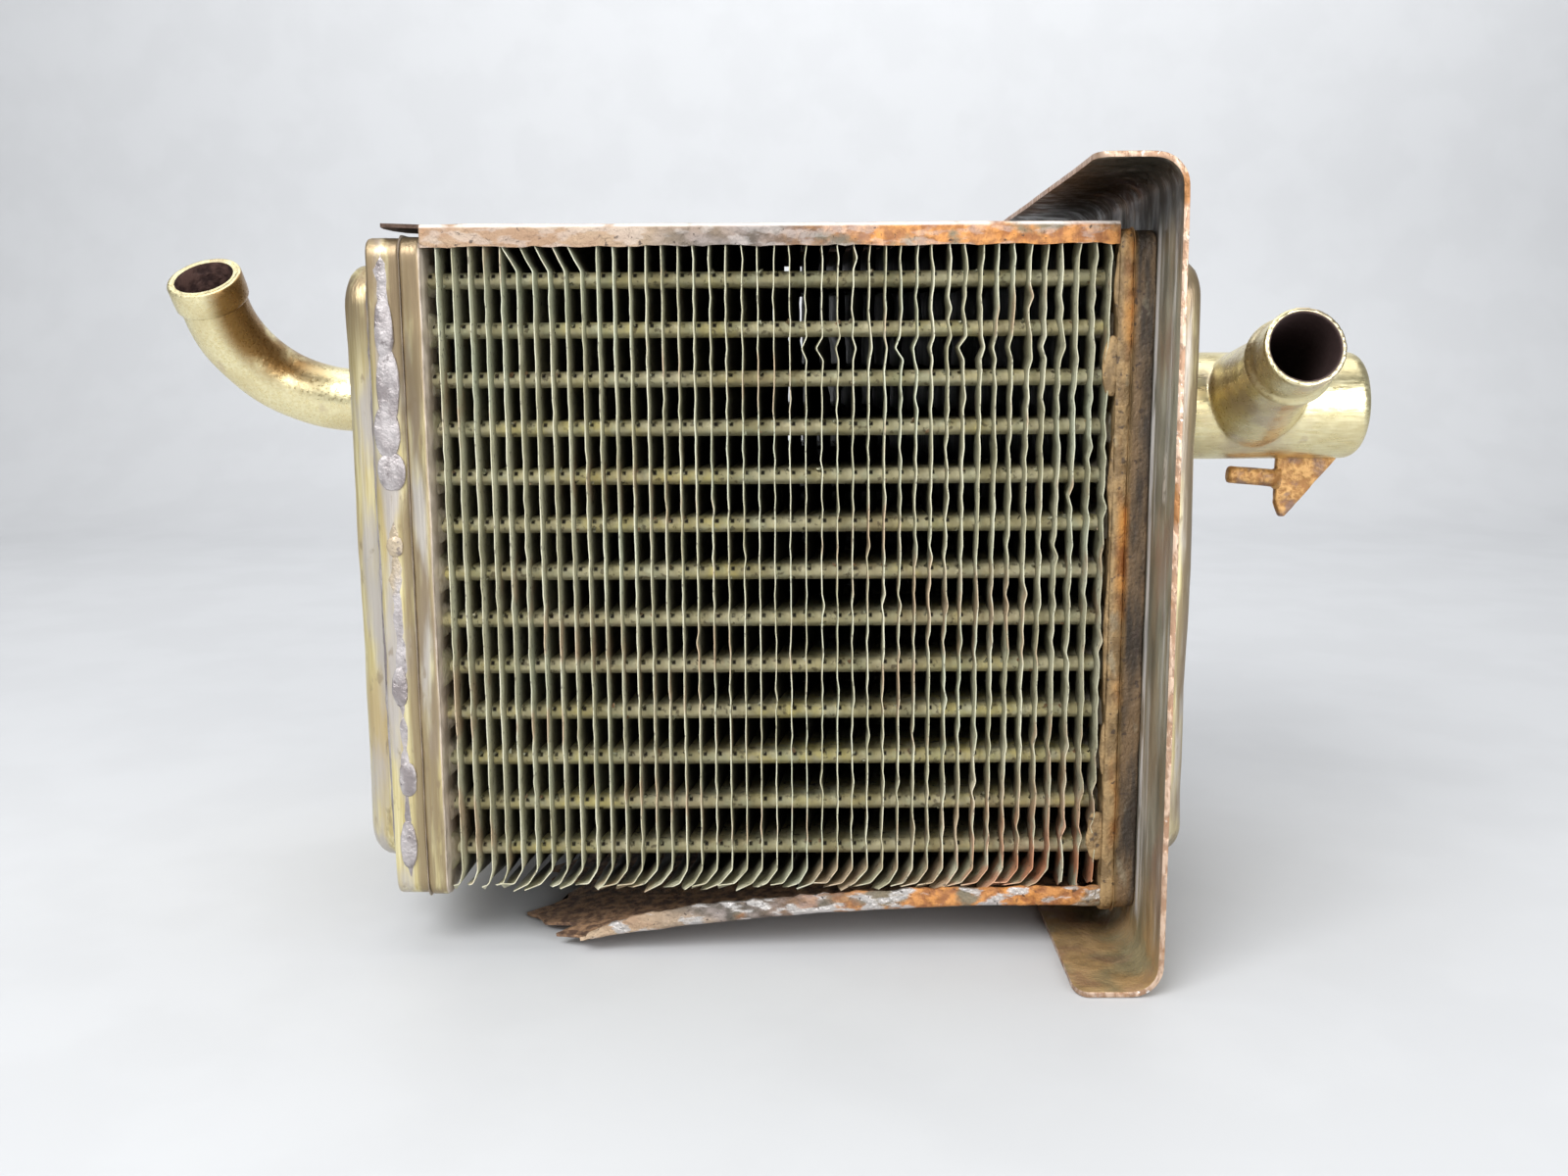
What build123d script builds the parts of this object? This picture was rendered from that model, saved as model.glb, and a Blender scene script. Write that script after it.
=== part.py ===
"""Small brass and copper heater radiator, in millimetres.

Coolant runs left to right through thirteen layers of flat tubes, from a shallow
pan tank at one end to another at the other end.  X runs along the tubes, Y from
the front face of the core to its back, Z up.  A steel end flange stands on the
table plane Z = 0 and carries the right end of the core.  At the end everything
is shifted so that the origin is at the middle of the footprint.
"""

import os
from math import asin, cos, degrees, radians, sin, tan

from build123d import *

# ---------------------------------------------------------------- core
CORE_LEFT, CORE_RIGHT = -77.4, 68.2     # inner faces of the two header plates
CORE_DEPTH = 100.0
CORE_MID_Y = CORE_DEPTH / 2
ROWS, ROW_PITCH, FIRST_ROW_Z = 13, 10.52, 22.8
COLUMNS, COLUMN_PITCH = 3, 32.5
TUBE_WIDTH, TUBE_THICK, TUBE_WALL = 24.0, 3.4, 0.35
ROWS_MID_Z = FIRST_ROW_Z + ROW_PITCH * (ROWS - 1) / 2

FINS, FINS_PER_BANK = 43, 4
FIRST_FIN_X, FIN_PITCH = -74.2, 3.352
FIN_THICK, FIN_TOP_Z = 0.2, 158.8
FIN_KNEE_Z, FIN_TAIL_DROP, FIN_TAIL_LEAN = 19.6, 5.0, 3.0
FIN_SLOT_GAP = 0.05                     # the fins are a slip fit on the tubes

# ---------------------------------------------------------------- headers and tanks
SHEET = 1.2
TUBE_STAND_OUT = 1.0                    # the tube ends pass this far through the headers
HEADER_Y = (-0.6, CORE_DEPTH + 0.6)
LEFT_RIM_X = -89.0
LEFT_HEADER_Z, RIGHT_HEADER_Z = (13.5, 157.8), (9.6, 158.6)
HEADER_CORNER_R = 4.0
HEM_RISE, HEM_WIDTH = 0.9, 4.4          # the folded edge of a header's rim
RIM_BEAD_X, RIM_BEAD_WIDTH, RIM_BEAD_RISE = -84.6, 2.6, 0.7
TANK_SHEET = 1.0
TANK_Y, TANK_Z = (6.0, CORE_DEPTH - 6.0), (19.0, 153.0)
TANK_CORNER_R, TANK_EDGE_R = 9.0, 4.0
LEFT_TANK_X, RIGHT_TANK_X = -96.3, 88.0
SEAM_WIDTH, SEAM_RISE = 3.0, 1.0

# ---------------------------------------------------------------- side plates
PLATE, PLATE_LIP = 0.8, 4.7
TOP_Z = 160.4
TORN_STRIP_LENGTH, TORN_STRIP_WIDTH = 8.5, 22.0
BOTTOM_Z = 10.8                         # underside of the bottom plate where it is straight
PEEL_START_X, PEEL_R = 52.0, 660.0      # left of this the bottom plate hangs away
PEEL_END_X = -62.0                      # the torn end reaches this far

# ---------------------------------------------------------------- end flange
FLANGE_SHEET = 1.2
FLANGE_INNER_X = 76.0
FLANGE_OUTER_X = FLANGE_INNER_X + FLANGE_SHEET
FLANGE_LEFT_X = 58.8                    # free edges of its two turned-in tabs
FLANGE_FRONT_Y, FLANGE_BACK_Y = -24.0, 124.0
FLANGE_TOP_Z = 172.2
FLANGE_BEND_R, FLANGE_CORNER_R = 5.5, 9.0
FLANGE_TAB_DROP = 4.5                   # the top tab falls this much towards the back
FLANGE_RAKE = 4.0                       # the front edge stands further back at the top
CUT_MARGIN = 10.0                       # how far a hollow runs past the sheet it opens

# ---------------------------------------------------------------- outlet pipe
PIPE_Y = 52.0
OUTLET_Z, OUTLET_R, OUTLET_WALL = 122.0, 7.6, 0.9
OUTLET_START_X, OUTLET_RUN = -94.3, 11.8
OUTLET_TURN_R, OUTLET_END_RUN = 29.0, 8.0
OUTLET_AXIS = Vector(-0.07, -0.55, 0.83).normalized()
FERRULE_R, FERRULE_LENGTH = 8.5, 6.5
BOSS_R, BOSS_LENGTH = 9.6, 2.4

# ---------------------------------------------------------------- inlet manifold
MANIFOLD_R, MANIFOLD_WALL, MANIFOLD_Z = 13.0, 1.2, 119.5
MANIFOLD_START_X, MANIFOLD_END_X = 86.0, 135.0
CAP_LENGTH, CAP_EDGE_R = 3.6, 3.2
BRAZE_R, BRAZE_LENGTH = 15.0, 2.0
SOLDER_SLOPE = 1.2                      # chamfer of the boss and the braze ring
INLET_MOUTH = Vector(110.7, 8.0, 134.3)
INLET_REACH = Vector(0.0, PIPE_Y - INLET_MOUTH.Y, MANIFOLD_Z - INLET_MOUTH.Z)
INLET_INWARD = INLET_REACH.normalized()  # the stub points at the manifold's axis
INLET_R, INLET_BORE_R, STUB_LENGTH = 9.0, 7.5, 19.0
BEAD_START, BEAD_RISE, BEAD_WIDTH = 9.0, 1.3, 3.0
NECK_FLARE_R, NECK_END = 12.0, 43.0

# ---------------------------------------------------------------- tie bracket
GUSSET_X, GUSSET_WIDTH, GUSSET_TIP_Z, GUSSET_THICK = 119.6, 14.6, 92.0, 2.4
GUSSET_EDGE_Z, GUSSET_NOSE = 95.5, 2.6
TIE_PIN_R, TIE_PIN_LENGTH, TIE_PIN_Z, TIE_PIN_SLOPE = 2.1, 12.0, 101.6, 5.0
PIN_SHOULDER_R, PIN_SHOULDER_LENGTH = 3.0, 1.0  # the braze around the pin's foot

finished = []


def finish(piece, name):
    """Labels a finished piece and keeps it for the export."""
    piece.part.label = name
    finished.append(piece.part)


def box_between(x, y, z, mode=Mode.ADD):
    """A block between two limits along each axis, in the active part."""
    with Locations(tuple((low + high) / 2 for low, high in (x, y, z))):
        Box(x[1] - x[0], y[1] - y[0], z[1] - z[0], mode=mode)


def end_face(pan, outward):
    """The face of a pan that looks furthest outward along X."""
    return pan.faces().sort_by(Axis.X)[-1 if outward > 0 else 0]


def tube_bundle(x_from, length, gap=0.0):
    """All the tubes as solid bars, a gap larger all round, to cut their slots with."""
    with BuildPart() as bars:
        with BuildSketch(Plane.YZ.offset(x_from)):
            with Locations((CORE_MID_Y, ROWS_MID_Z)):
                with GridLocations(COLUMN_PITCH, ROW_PITCH, COLUMNS, ROWS):
                    SlotOverall(TUBE_WIDTH + 2 * gap, TUBE_THICK + 2 * gap)
        extrude(amount=length)
    return bars.part


def rounded_section(y, z, corner, mode=Mode.ADD):
    """A rounded rectangle across the core, in the active sketch."""
    with Locations(((y[0] + y[1]) / 2, (z[0] + z[1]) / 2)):
        RectangleRounded(y[1] - y[0], z[1] - z[0], corner, mode=mode)


def grown(limits, by):
    """A pair of limits moved apart by a margin on each side."""
    return limits[0] - by, limits[1] + by


# ================================================================ tubes
tube_start = CORE_LEFT - SHEET - TUBE_STAND_OUT
tube_length = CORE_RIGHT - CORE_LEFT + 2 * (SHEET + TUBE_STAND_OUT)
for row in range(ROWS):
    row_z = FIRST_ROW_Z + ROW_PITCH * (ROWS - 1 - row)
    with BuildPart() as tube_row:
        with BuildSketch(Plane.YZ.offset(tube_start)):
            with Locations((CORE_MID_Y, row_z)):
                with GridLocations(COLUMN_PITCH, 1, COLUMNS, 1):
                    SlotOverall(TUBE_WIDTH, TUBE_THICK)
                    SlotOverall(TUBE_WIDTH - 2 * TUBE_WALL, TUBE_THICK - 2 * TUBE_WALL,
                                mode=Mode.SUBTRACT)
        extrude(amount=tube_length)
    finish(tube_row, f"tube_row_{row + 1:02d}")

# ================================================================ fins
# One fin: an upright strip whose tail, under the last tubes, is pushed to the left.
fin_slots = tube_bundle(-1, 2, FIN_SLOT_GAP)
with BuildPart() as fin:
    with BuildSketch(Plane.XZ):
        half = FIN_THICK / 2
        tail_x, tail_z = -FIN_TAIL_LEAN, FIN_KNEE_Z - FIN_TAIL_DROP
        Polygon((-half, FIN_TOP_Z), (half, FIN_TOP_Z), (half, FIN_KNEE_Z),
                (tail_x + half, tail_z), (tail_x - half, tail_z), (-half, FIN_KNEE_Z),
                align=None)
    extrude(amount=-CORE_DEPTH)
    add(fin_slots, mode=Mode.SUBTRACT)

for number, first in enumerate(range(0, FINS, FINS_PER_BANK), start=1):
    places = [(FIRST_FIN_X + FIN_PITCH * n, 0, 0)
              for n in range(first, min(first + FINS_PER_BANK, FINS))]
    with BuildPart() as fin_bank:
        with Locations(*places):
            add(fin.part)
    finish(fin_bank, f"fin_bank_{number:02d}")


# ================================================================ header plates
def make_header(name, plate_x, rim_x, z):
    """A drawn pan: a plate slotted for the tubes, and a rim with a folded hem."""
    outward = 1 if rim_x > plate_x else -1
    slots = tube_bundle(plate_x - 2 * SHEET, 4 * SHEET)
    with BuildPart() as pan:
        with BuildSketch(Plane.YZ.offset(plate_x)):
            rounded_section(HEADER_Y, z, HEADER_CORNER_R)
        extrude(amount=rim_x - plate_x)
        offset(amount=-SHEET, openings=end_face(pan, outward))
        with BuildSketch(Plane.YZ.offset(plate_x + outward * SHEET)):
            rounded_section(grown(HEADER_Y, HEM_RISE), grown(z, HEM_RISE),
                            HEADER_CORNER_R + HEM_RISE)
            rounded_section(grown(HEADER_Y, -SHEET / 2), grown(z, -SHEET / 2),
                            HEADER_CORNER_R - SHEET / 2, mode=Mode.SUBTRACT)
        extrude(amount=outward * HEM_WIDTH)
        add(slots, mode=Mode.SUBTRACT)
    finish(pan, name)


make_header("left_header", CORE_LEFT, LEFT_RIM_X, LEFT_HEADER_Z)
make_header("right_header", CORE_RIGHT, FLANGE_INNER_X, RIGHT_HEADER_Z)


# ================================================================ tanks
seat_y, seat_z = grown(HEADER_Y, -SHEET - 0.2), grown(LEFT_HEADER_Z, -SHEET - 0.2)


def make_tank(name, seat_x, crown_x, port_z, port_r):
    """A pressed pan tank: a flat seat round a raised crown that has one round port."""
    outward = 1 if crown_x > seat_x else -1
    with BuildPart() as pan:
        with BuildSketch(Plane.YZ.offset(seat_x)):
            rounded_section(TANK_Y, TANK_Z, TANK_CORNER_R)
        extrude(amount=crown_x - seat_x)
        fillet(end_face(pan, outward).edges(), TANK_EDGE_R)
        offset(amount=-TANK_SHEET, openings=end_face(pan, -outward))
        with BuildSketch(Plane.YZ.offset(seat_x)):
            rounded_section(seat_y, seat_z, HEADER_CORNER_R)
            rounded_section(grown(TANK_Y, -TANK_SHEET / 2), grown(TANK_Z, -TANK_SHEET / 2),
                            TANK_CORNER_R - TANK_SHEET / 2, mode=Mode.SUBTRACT)
        extrude(amount=outward * TANK_SHEET)
        with BuildSketch(Plane.YZ.offset(crown_x)):
            with Locations((PIPE_Y, port_z)):
                Circle(port_r)
        extrude(amount=-outward * 3 * TANK_SHEET, mode=Mode.SUBTRACT)
    finish(pan, name)


make_tank("left_tank", LEFT_RIM_X + TANK_SHEET, LEFT_TANK_X, OUTLET_Z, OUTLET_R)
make_tank("right_tank", FLANGE_OUTER_X, RIGHT_TANK_X, MANIFOLD_Z, MANIFOLD_R)


def make_seam(name, x, outward):
    """The band of solder that closes the joint round a tank's seat."""
    outer_y, outer_z = grown(HEADER_Y, -0.3), grown(LEFT_HEADER_Z, -0.3)
    with BuildPart() as band:
        with BuildSketch(Plane.YZ.offset(x)):
            rounded_section(outer_y, outer_z, HEADER_CORNER_R)
            rounded_section(grown(outer_y, -SEAM_WIDTH), grown(outer_z, -SEAM_WIDTH),
                            HEADER_CORNER_R, mode=Mode.SUBTRACT)
        extrude(amount=outward * SEAM_RISE)
        chamfer(end_face(band, outward).edges(), SEAM_RISE * 0.6)
    finish(band, name)


make_seam("left_seam_solder", LEFT_RIM_X, -1)
make_seam("right_seam_solder", FLANGE_OUTER_X + TANK_SHEET, 1)

# A run of solder stands proud down the front of the left rim.
with BuildPart() as left_rim_bead:
    box_between(grown((RIM_BEAD_X, RIM_BEAD_X), RIM_BEAD_WIDTH / 2),
                (HEADER_Y[0] - RIM_BEAD_RISE, HEADER_Y[0]),
                grown(LEFT_HEADER_Z, -HEADER_CORNER_R - 1))
    chamfer(left_rim_bead.faces().sort_by(Axis.Y)[0].edges(), RIM_BEAD_RISE / 2)
finish(left_rim_bead, "left_rim_bead")

# ================================================================ top side plate
# A shallow channel over the fins.  A torn strip of it lies on the left header.
plate_y = grown((0, CORE_DEPTH), PLATE)
with BuildPart() as top_plate:
    box_between((CORE_LEFT, CORE_RIGHT), plate_y, (TOP_Z - PLATE_LIP, TOP_Z))
    box_between((CORE_LEFT, CORE_RIGHT), (0, CORE_DEPTH), (TOP_Z - PLATE_LIP, TOP_Z - PLATE),
                mode=Mode.SUBTRACT)
    with BuildSketch(Plane.XY.offset(TOP_Z - PLATE)):
        strip_end = CORE_LEFT - TORN_STRIP_LENGTH
        Polygon((CORE_LEFT, plate_y[0]), (CORE_LEFT - 2, plate_y[0]), (strip_end, 1.5),
                (strip_end + 2.5, 6), (strip_end + 1, 13), (CORE_LEFT - 3, TORN_STRIP_WIDTH),
                (CORE_LEFT, TORN_STRIP_WIDTH + 3), align=None)
    extrude(amount=PLATE)
finish(top_plate, "top_side_plate")

# ================================================================ bottom side plate
# The same channel, torn at its left end and peeled down on a long curve.
def peeled_band(low, high, y):
    """The band of the plate between two heights above its underside."""
    sweep_angle = degrees(asin((PEEL_START_X - PEEL_END_X) / PEEL_R))
    centre = (PEEL_START_X, BOTTOM_Z - PEEL_R)
    with BuildPart() as band:
        with BuildSketch(Plane.XZ.offset(-y[1])):
            with BuildLine():
                under = CenterArc(centre, PEEL_R + low, 90, sweep_angle)
                over = CenterArc(centre, PEEL_R + high, 90, sweep_angle)
                Line(under @ 1, over @ 1)
                Polyline(under @ 0, (CORE_RIGHT, BOTTOM_Z + low),
                         (CORE_RIGHT, BOTTOM_Z + high), over @ 0)
            make_face()
        extrude(amount=y[1] - y[0])
    return band.part


peeled_channel = peeled_band(0, PLATE_LIP, plate_y)
peeled_hollow = peeled_band(PLATE, PLATE_LIP + 1, (0, CORE_DEPTH))
with BuildPart() as bottom_plate:
    add(peeled_channel)
    add(peeled_hollow, mode=Mode.SUBTRACT)
    with BuildSketch(Plane.XY.offset(-PLATE_LIP)):
        Polygon((-70, -3), (-42, -3), (-44, 3), (-51, 8), (-49, 15), (-58, 24), (-55, 33),
                (-61, 46), (-56, 60), (-60, 72), (-52, 85), (-54, 96), (-46, 103), (-70, 103),
                align=None)
    extrude(amount=4 * PLATE_LIP, mode=Mode.SUBTRACT)
finish(bottom_plate, "bottom_side_plate")

# ================================================================ end flange
# A sheet standing across the end of the core, its two ends turned in as tabs.
tab_slope = FLANGE_TAB_DROP / (FLANGE_BACK_Y - FLANGE_FRONT_Y)


def flange_block(x, inset, bend_r, margin):
    """The flange's outline as a solid, with the two bends along its right side."""
    front, back = FLANGE_FRONT_Y - margin, FLANGE_BACK_Y + margin
    rake = FLANGE_RAKE if margin == 0 else 0
    with BuildPart() as block:
        with BuildSketch(Plane.YZ.offset(x[0])):
            Polygon((front, inset), (back, inset),
                    (back, FLANGE_TOP_Z - FLANGE_TAB_DROP - inset - tab_slope * margin),
                    (front + rake, FLANGE_TOP_Z - inset + tab_slope * (margin - rake)),
                    align=None)
        extrude(amount=x[1] - x[0])
        right_side = block.faces().sort_by(Axis.X)[-1]
        bends = right_side.edges().sort_by(Axis.Z)
        fillet([bends[0], bends[-1]], bend_r)
    return block


hollow = flange_block((FLANGE_LEFT_X - 5, FLANGE_INNER_X), FLANGE_SHEET, FLANGE_BEND_R,
                      CUT_MARGIN)
outer_block = flange_block((FLANGE_LEFT_X, FLANGE_OUTER_X), 0, FLANGE_BEND_R + FLANGE_SHEET, 0)
with BuildPart() as flange:
    add(outer_block.part)
    left_side = flange.faces().sort_by(Axis.X)[0]
    corners = left_side.edges().sort_by(Axis.Y)
    fillet([corners[0], corners[-1]], FLANGE_CORNER_R)
    add(hollow.part, mode=Mode.SUBTRACT)
    with BuildSketch(Plane.YZ.offset(FLANGE_INNER_X)):
        rounded_section(grown(TANK_Y, -TANK_SHEET), grown(TANK_Z, -TANK_SHEET),
                        TANK_CORNER_R - TANK_SHEET)
    extrude(amount=FLANGE_SHEET, mode=Mode.SUBTRACT)
finish(flange, "end_flange")

# ================================================================ outlet pipe
# The pipe leaves the left tank, then turns up and towards the front.
pipe_start = Vector(OUTLET_START_X, PIPE_Y, OUTLET_Z)
turn_angle = Vector(-1, 0, 0).get_angle(OUTLET_AXIS)
corner_reach = OUTLET_TURN_R * tan(radians(turn_angle / 2))
pipe_corner = pipe_start + Vector(-1, 0, 0) * (OUTLET_RUN + corner_reach)
pipe_mouth = pipe_corner + OUTLET_AXIS * (corner_reach + OUTLET_END_RUN)
with BuildPart() as outlet_pipe:
    with BuildLine() as pipe_route:
        FilletPolyline(pipe_start, pipe_corner, pipe_mouth, radius=OUTLET_TURN_R)
    with BuildSketch(Plane(origin=pipe_start, z_dir=(-1, 0, 0))):
        Circle(OUTLET_R)
        Circle(OUTLET_R - OUTLET_WALL, mode=Mode.SUBTRACT)
    sweep(path=pipe_route.line)
finish(outlet_pipe, "outlet_pipe")

with BuildPart() as outlet_ferrule:
    with BuildSketch(Plane(origin=pipe_mouth, z_dir=-OUTLET_AXIS)):
        Circle(FERRULE_R)
        Circle(OUTLET_R, mode=Mode.SUBTRACT)
    extrude(amount=FERRULE_LENGTH)
finish(outlet_ferrule, "outlet_ferrule")

with BuildPart() as outlet_boss:
    with BuildSketch(Plane.YZ.offset(LEFT_TANK_X)):
        with Locations((PIPE_Y, OUTLET_Z)):
            Circle(BOSS_R)
            Circle(OUTLET_R, mode=Mode.SUBTRACT)
    extrude(amount=-BOSS_LENGTH)
    chamfer(outlet_boss.faces().sort_by(Axis.X)[0].edges().sort_by(SortBy.LENGTH)[-1],
            SOLDER_SLOPE)
finish(outlet_boss, "outlet_boss")

# ================================================================ inlet manifold
# Axis of the manifold, used to cut whatever meets it.
with BuildPart() as manifold_core:
    with BuildSketch(Plane.YZ.offset(MANIFOLD_START_X)):
        with Locations((PIPE_Y, MANIFOLD_Z)):
            Circle(MANIFOLD_R)
    extrude(amount=MANIFOLD_END_X - MANIFOLD_START_X)

inlet_plane = Plane(origin=INLET_MOUTH, x_dir=(1, 0, 0), z_dir=INLET_INWARD)
with BuildPart() as inlet_manifold:
    add(manifold_core.part)
    offset(amount=-MANIFOLD_WALL, openings=inlet_manifold.faces().filter_by(Axis.X))
    with BuildSketch(inlet_plane):
        Circle(NECK_FLARE_R - MANIFOLD_WALL)
    extrude(amount=INLET_REACH.length, mode=Mode.SUBTRACT)
finish(inlet_manifold, "inlet_manifold")

with BuildPart() as manifold_cap:
    with BuildSketch(Plane.YZ.offset(MANIFOLD_END_X)):
        with Locations((PIPE_Y, MANIFOLD_Z)):
            Circle(MANIFOLD_R)
    extrude(amount=CAP_LENGTH)
    fillet(manifold_cap.faces().sort_by(Axis.X)[-1].edges(), CAP_EDGE_R)
    offset(amount=-MANIFOLD_WALL, openings=manifold_cap.faces().sort_by(Axis.X)[0])
finish(manifold_cap, "manifold_cap")

with BuildPart() as manifold_braze:
    with BuildSketch(Plane.YZ.offset(RIGHT_TANK_X)):
        with Locations((PIPE_Y, MANIFOLD_Z)):
            Circle(BRAZE_R)
            Circle(MANIFOLD_R, mode=Mode.SUBTRACT)
    extrude(amount=BRAZE_LENGTH)
    chamfer(manifold_braze.faces().sort_by(Axis.X)[-1].edges().sort_by(SortBy.LENGTH)[-1],
            SOLDER_SLOPE)
finish(manifold_braze, "manifold_braze")

# The stub's wall is turned about its own axis: a plain end, a bead, a plain run.
profile_plane = Plane(origin=INLET_MOUTH, x_dir=(1, 0, 0),
                      z_dir=Vector(1, 0, 0).cross(INLET_INWARD))
inlet_axis = Axis(INLET_MOUTH, INLET_INWARD)
bead_end = BEAD_START + BEAD_WIDTH
with BuildPart() as inlet_stub:
    with BuildSketch(profile_plane):
        with BuildLine():
            bead = ThreePointArc((INLET_R, BEAD_START),
                                 (INLET_R + BEAD_RISE, BEAD_START + BEAD_WIDTH / 2),
                                 (INLET_R, bead_end))
            Polyline(bead @ 0, (INLET_R, 0), (INLET_BORE_R, 0), (INLET_BORE_R, STUB_LENGTH),
                     (INLET_R, STUB_LENGTH), bead @ 1)
        make_face()
    revolve(axis=inlet_axis)
finish(inlet_stub, "inlet_stub")

with BuildPart() as inlet_neck:
    with BuildSketch(profile_plane):
        with BuildLine():
            wall = NECK_FLARE_R - MANIFOLD_WALL
            outside = Spline((INLET_R, STUB_LENGTH), (NECK_FLARE_R, NECK_END),
                             tangents=((0, 1), (0.25, 1)))
            inside = Spline((INLET_BORE_R, STUB_LENGTH), (wall, NECK_END),
                            tangents=((0, 1), (0.25, 1)))
            Line(outside @ 0, inside @ 0)
            Line(outside @ 1, inside @ 1)
        make_face()
    revolve(axis=inlet_axis)
    add(manifold_core.part, mode=Mode.SUBTRACT)
finish(inlet_neck, "inlet_neck")

# ================================================================ tie bracket
with BuildPart() as bracket_gusset:
    with BuildSketch(Plane.XZ.offset(-PIPE_Y - GUSSET_THICK / 2)):
        top_z = MANIFOLD_Z - MANIFOLD_R + 1
        Polygon((GUSSET_X, top_z), (GUSSET_X + GUSSET_WIDTH, top_z),
                (GUSSET_X + GUSSET_NOSE, GUSSET_TIP_Z), (GUSSET_X + 1, GUSSET_TIP_Z),
                (GUSSET_X, GUSSET_EDGE_Z), align=None)
    extrude(amount=GUSSET_THICK)
    add(manifold_core.part, mode=Mode.SUBTRACT)
finish(bracket_gusset, "bracket_gusset")

with BuildPart() as bracket_pin:
    pin_dir = Vector(-cos(radians(TIE_PIN_SLOPE)), 0, sin(radians(TIE_PIN_SLOPE)))
    pin_foot = Vector(GUSSET_X, PIPE_Y, TIE_PIN_Z) - pin_dir
    with BuildSketch(Plane(origin=pin_foot, z_dir=pin_dir)):
        Circle(TIE_PIN_R)
    extrude(amount=TIE_PIN_LENGTH + 1)
    with BuildSketch(Plane(origin=pin_foot, z_dir=pin_dir)):
        Circle(PIN_SHOULDER_R)
    extrude(amount=PIN_SHOULDER_LENGTH + 1)
    split(bisect_by=Plane.YZ.offset(GUSSET_X), keep=Keep.BOTTOM)
finish(bracket_pin, "bracket_pin")

# ================================================================ export
whole = Compound(finished).bounding_box()
shift = Vector(-(whole.min.X + whole.max.X) / 2, -(whole.min.Y + whole.max.Y) / 2, -whole.min.Z)
print("size", whole.size, "shift", shift)
print("outlet mouth", pipe_mouth + shift, "axis", OUTLET_AXIS)
print("inlet mouth", INLET_MOUTH + shift, "axis", -INLET_INWARD)
print("pin end", pin_foot + pin_dir * (TIE_PIN_LENGTH + 1) + shift, "axis", pin_dir)
os.makedirs("parts", exist_ok=True)
for piece in finished:
    moved = piece.moved(Location(shift))
    moved.label = piece.label
    export_step(moved, f"parts/{piece.label}.step")
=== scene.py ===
"""Looks for a small brass and copper heater core: fins, tubes, tanks, flange and pipes on their CAD frame."""
import math
import random

import bmesh
import bpy
from mathutils import Matrix, Vector


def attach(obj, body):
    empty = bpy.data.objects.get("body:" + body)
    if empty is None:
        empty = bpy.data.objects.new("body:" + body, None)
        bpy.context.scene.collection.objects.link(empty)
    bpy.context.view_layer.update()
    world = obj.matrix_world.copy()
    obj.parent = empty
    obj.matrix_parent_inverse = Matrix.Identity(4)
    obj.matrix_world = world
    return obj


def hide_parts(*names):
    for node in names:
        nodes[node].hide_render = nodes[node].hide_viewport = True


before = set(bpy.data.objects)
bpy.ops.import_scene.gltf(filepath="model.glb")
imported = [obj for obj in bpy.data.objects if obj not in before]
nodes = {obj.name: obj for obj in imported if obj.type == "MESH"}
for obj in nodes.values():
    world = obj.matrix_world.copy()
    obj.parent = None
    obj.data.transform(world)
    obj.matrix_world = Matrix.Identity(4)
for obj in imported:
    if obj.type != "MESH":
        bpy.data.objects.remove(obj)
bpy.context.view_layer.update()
chance = random.Random(41)

# The CAD source measures in millimetres from the left of the core's middle and its front face.
ORIGIN = Vector((2.734355, -50.0, 0.0))


def at(x, y, z):
    """A point given in the CAD source's millimetres, in this frame's metres."""
    return (Vector((x, y, z)) + ORIGIN) / 1000


# The core's own numbers, in millimetres.
FIN_COUNT = 43
FIRST_FIN_X, FIN_PITCH, FIN_THICK = -74.2, 3.352, 0.2
ROW_COUNT, ROW_PITCH, LOWEST_ROW_Z = 13, 10.52, 22.8
FIN_TOP_Z, KNEE_Z, TAIL_Z = 158.8, 19.6, 13.9
TUBE_HALF, LOW_BEND, HIGH_BEND, TAIL_BEND = 1.7, 4.0, 6.5, 3.2  # where a fin bends, from a tube or the knee
ROW_Z = [LOWEST_ROW_Z + ROW_PITCH * i for i in range(ROW_COUNT)]
INLET_MOUTH = Vector((110.7, 8.0, 134.3))
INLET_INWARD = Vector((0.0, 44.0, -14.8)).normalized()

# ---------------------------------------------------------------- finishes

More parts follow.
